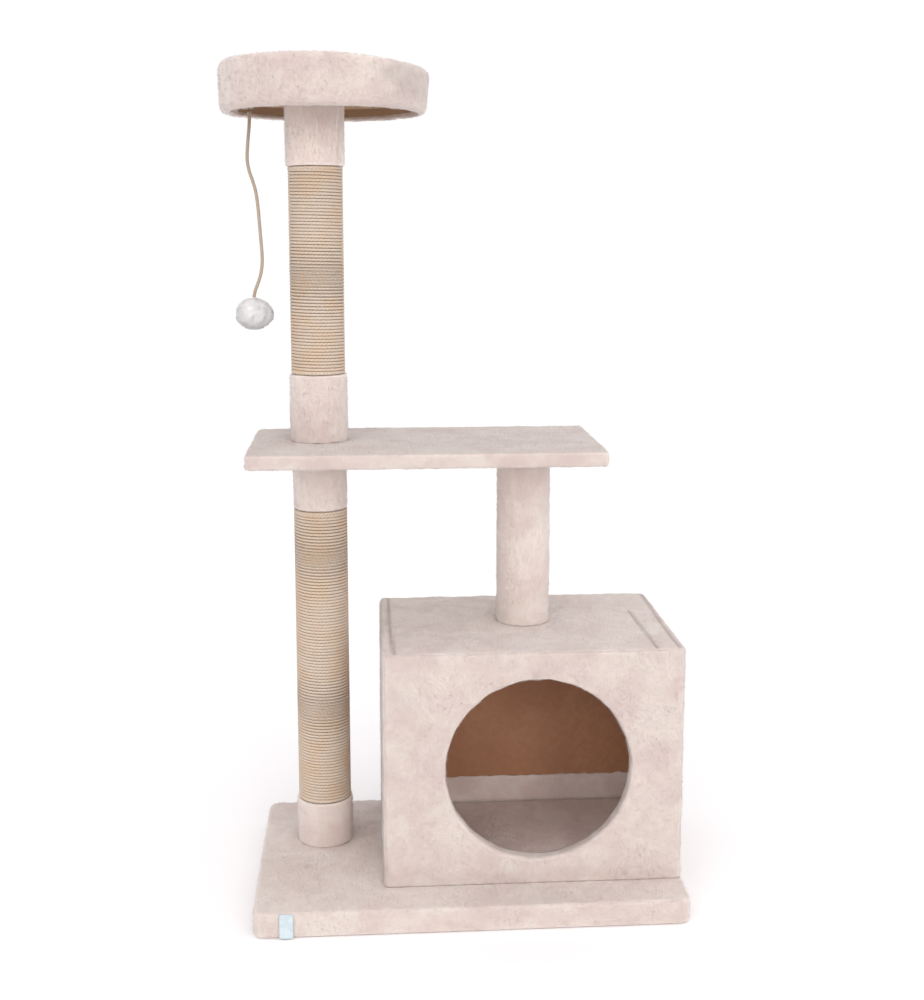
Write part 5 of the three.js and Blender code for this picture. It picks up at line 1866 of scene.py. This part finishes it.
class CAT_TREE_OT_bed_pad(bpy.types.Operator):
    """Adds the soft pad in the bed"""

    bl_idname = "cat_tree.bed_pad"
    bl_label = "Bed pad"

    def execute(self, context):
        plush, bed = settings("plush"), settings("bed")
        low, high = span("bed_pad")
        axis = (low[:2] + high[:2]) / 2
        radius = (high[0] - low[0]) / 2 - 1.5 * MM
        points, faces = self.disc(axis, radius, low[2] + 0.4 * MM, high[2] - plush.sunk)
        mesh = closed_mesh("bed_pad_plush", points, faces, {})
        pad = swollen("bed_pad_plush", mesh, 4 * MM, 3.0, bed.crown)
        mesh = pad.data
        points = mesh_points(mesh)
        reach = np.hypot(*(points[:, :2] - axis).T)
        points[:, 2] = np.maximum(points[:, 2], low[2] + 0.4 * MM)
        shrink = np.minimum(1.0, radius / np.maximum(reach, 1e-9))
        points[:, :2] = axis + (points[:, :2] - axis) * shrink[:, None]
        tuck = fade(reach - radius * 0.45, 5 * MM) * (points[:, 2] > low[2] + 3 * MM)
        points[:, 2] -= tuck * 0.8 * MM
        mesh.vertices.foreach_set("co", points.ravel())
        made = subdivided(pad)
        points = mesh_points(made)
        reach = np.hypot(*(points[:, :2] - axis).T)
        shown = (points[:, 2] > low[2] + 4 * MM).astype(np.float32)
        level = fade(reach - radius * 0.45, 4 * MM) * shown
        mark(made, "pile", shown * (1.0 - 0.6 * level))
        mark(made, "seam", level * 0.5)
        bpy.data.objects.remove(pad)
        pad = pile_on("bed_pad_plush", made, "Bed plush", Tufts=plush.tufts, Seed=63)
        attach(pad, "tree")
        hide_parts("bed_pad")
        return {"FINISHED"}

    def disc(self, axis, radius, low, high):
        """A flat round form with rounded sides."""
        thick = (high - low) / 2
        profile = [(radius * t, low) for t in (0.0, 0.2, 0.4, 0.6, 0.8)]
        for angle in range(-90, 91, 30):
            a = math.radians(angle)
            profile.append((radius - thick + thick * math.cos(a), low + thick + thick * math.sin(a)))
        profile += [(radius * t, high) for t in (0.8, 0.6, 0.4, 0.2, 0.0)]
        count = 72
        points = [(axis[0], axis[1], low)]
        for r, z in profile[1:-1]:
            for i in range(count):
                angle = 2 * math.pi * i / count
                points.append((axis[0] + r * math.cos(angle), axis[1] + r * math.sin(angle), z))
        points.append((axis[0], axis[1], high))
        last = len(points) - 1
        faces = []
        rings = len(profile) - 2
        for i in range(count):
            j = (i + 1) % count
            faces.append((0, 1 + j, 1 + i))
            for ring in range(rings - 1):
                a, b = 1 + ring * count, 1 + (ring + 1) * count
                faces.append((a + i, a + j, b + j, b + i))
            top = 1 + (rings - 1) * count
            faces.append((top + i, top + j, last))
        return np.array(points), faces


# ---------------------------------------------------------------------------------------------
# Boards and fittings


class CAT_TREE_OT_fittings(bpy.types.Operator):
    """Finishes the boards, tubes, plugs and steel fittings"""

    bl_idname = "cat_tree.fittings"
    bl_label = "Boards and fittings"

    def execute(self, context):
        finishes = {
            "chipboard": "Chipboard",
            "fibreboard": "Fibreboard",
            "plug_wood": "Plug wood",
            "cardboard": "Card tube",
            "zinc_steel": "Zinc steel",
            "felt": "Felt",
        }
        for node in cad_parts.values():
            slot = node.data.materials[0].name
            if slot in finishes:
                node.data.materials[0] = material(finishes[slot])
        return {"FINISHED"}


# ---------------------------------------------------------------------------------------------
# Panel and registration


OPERATORS = (
    CAT_TREE_OT_stage,
    CAT_TREE_OT_toy,
    CAT_TREE_OT_base,
    CAT_TREE_OT_condo,
    CAT_TREE_OT_shelf,
    CAT_TREE_OT_cuffs,
    CAT_TREE_OT_sisal,
    CAT_TREE_OT_bed_rim,
    CAT_TREE_OT_bed_pad,
    CAT_TREE_OT_fittings,
)


class CAT_TREE_PT_panel(bpy.types.Panel):
    """Lists the tree's settings and the operators that build it"""

    bl_idname = "CAT_TREE_PT_panel"
    bl_label = "Cat Tree"
    bl_space_type = "VIEW_3D"
    bl_region_type = "UI"
    bl_category = "Cat Tree"

    def draw(self, context):
        for part, group_class in SETTINGS.items():
            box = self.layout.box()
            box.label(text=part.capitalize())
            for key in group_class.__annotations__:
                box.prop(settings(part), key)
        for operator in OPERATORS:
            self.layout.operator(operator.bl_idname)


SETTINGS = {
    "stage": CAT_TREE_PG_stage,
    "plush": CAT_TREE_PG_plush,
    "rope": CAT_TREE_PG_rope,
    "bed": CAT_TREE_PG_bed,
    "toy": CAT_TREE_PG_toy,
}


def register():
    for part, group_class in SETTINGS.items():
        bpy.utils.register_class(group_class)
        pointer = bpy.props.PointerProperty(type=group_class)
        setattr(bpy.types.Scene, "cat_tree_" + part, pointer)
    for operator in OPERATORS:
        bpy.utils.register_class(operator)
    bpy.utils.register_class(CAT_TREE_PT_panel)


def unregister():
    bpy.utils.unregister_class(CAT_TREE_PT_panel)
    for operator in reversed(OPERATORS):
        bpy.utils.unregister_class(operator)
    for part, group_class in SETTINGS.items():
        delattr(bpy.types.Scene, "cat_tree_" + part)
        bpy.utils.unregister_class(group_class)


def main():
    register()
    bpy.ops.cat_tree.stage()
    bpy.ops.cat_tree.toy()
    bpy.ops.cat_tree.base()
    bpy.ops.cat_tree.condo()
    bpy.ops.cat_tree.shelf()
    bpy.ops.cat_tree.cuffs()
    bpy.ops.cat_tree.sisal()
    bpy.ops.cat_tree.bed_rim()
    bpy.ops.cat_tree.bed_pad()
    bpy.ops.cat_tree.fittings()


if __name__ == "__main__":
    main()
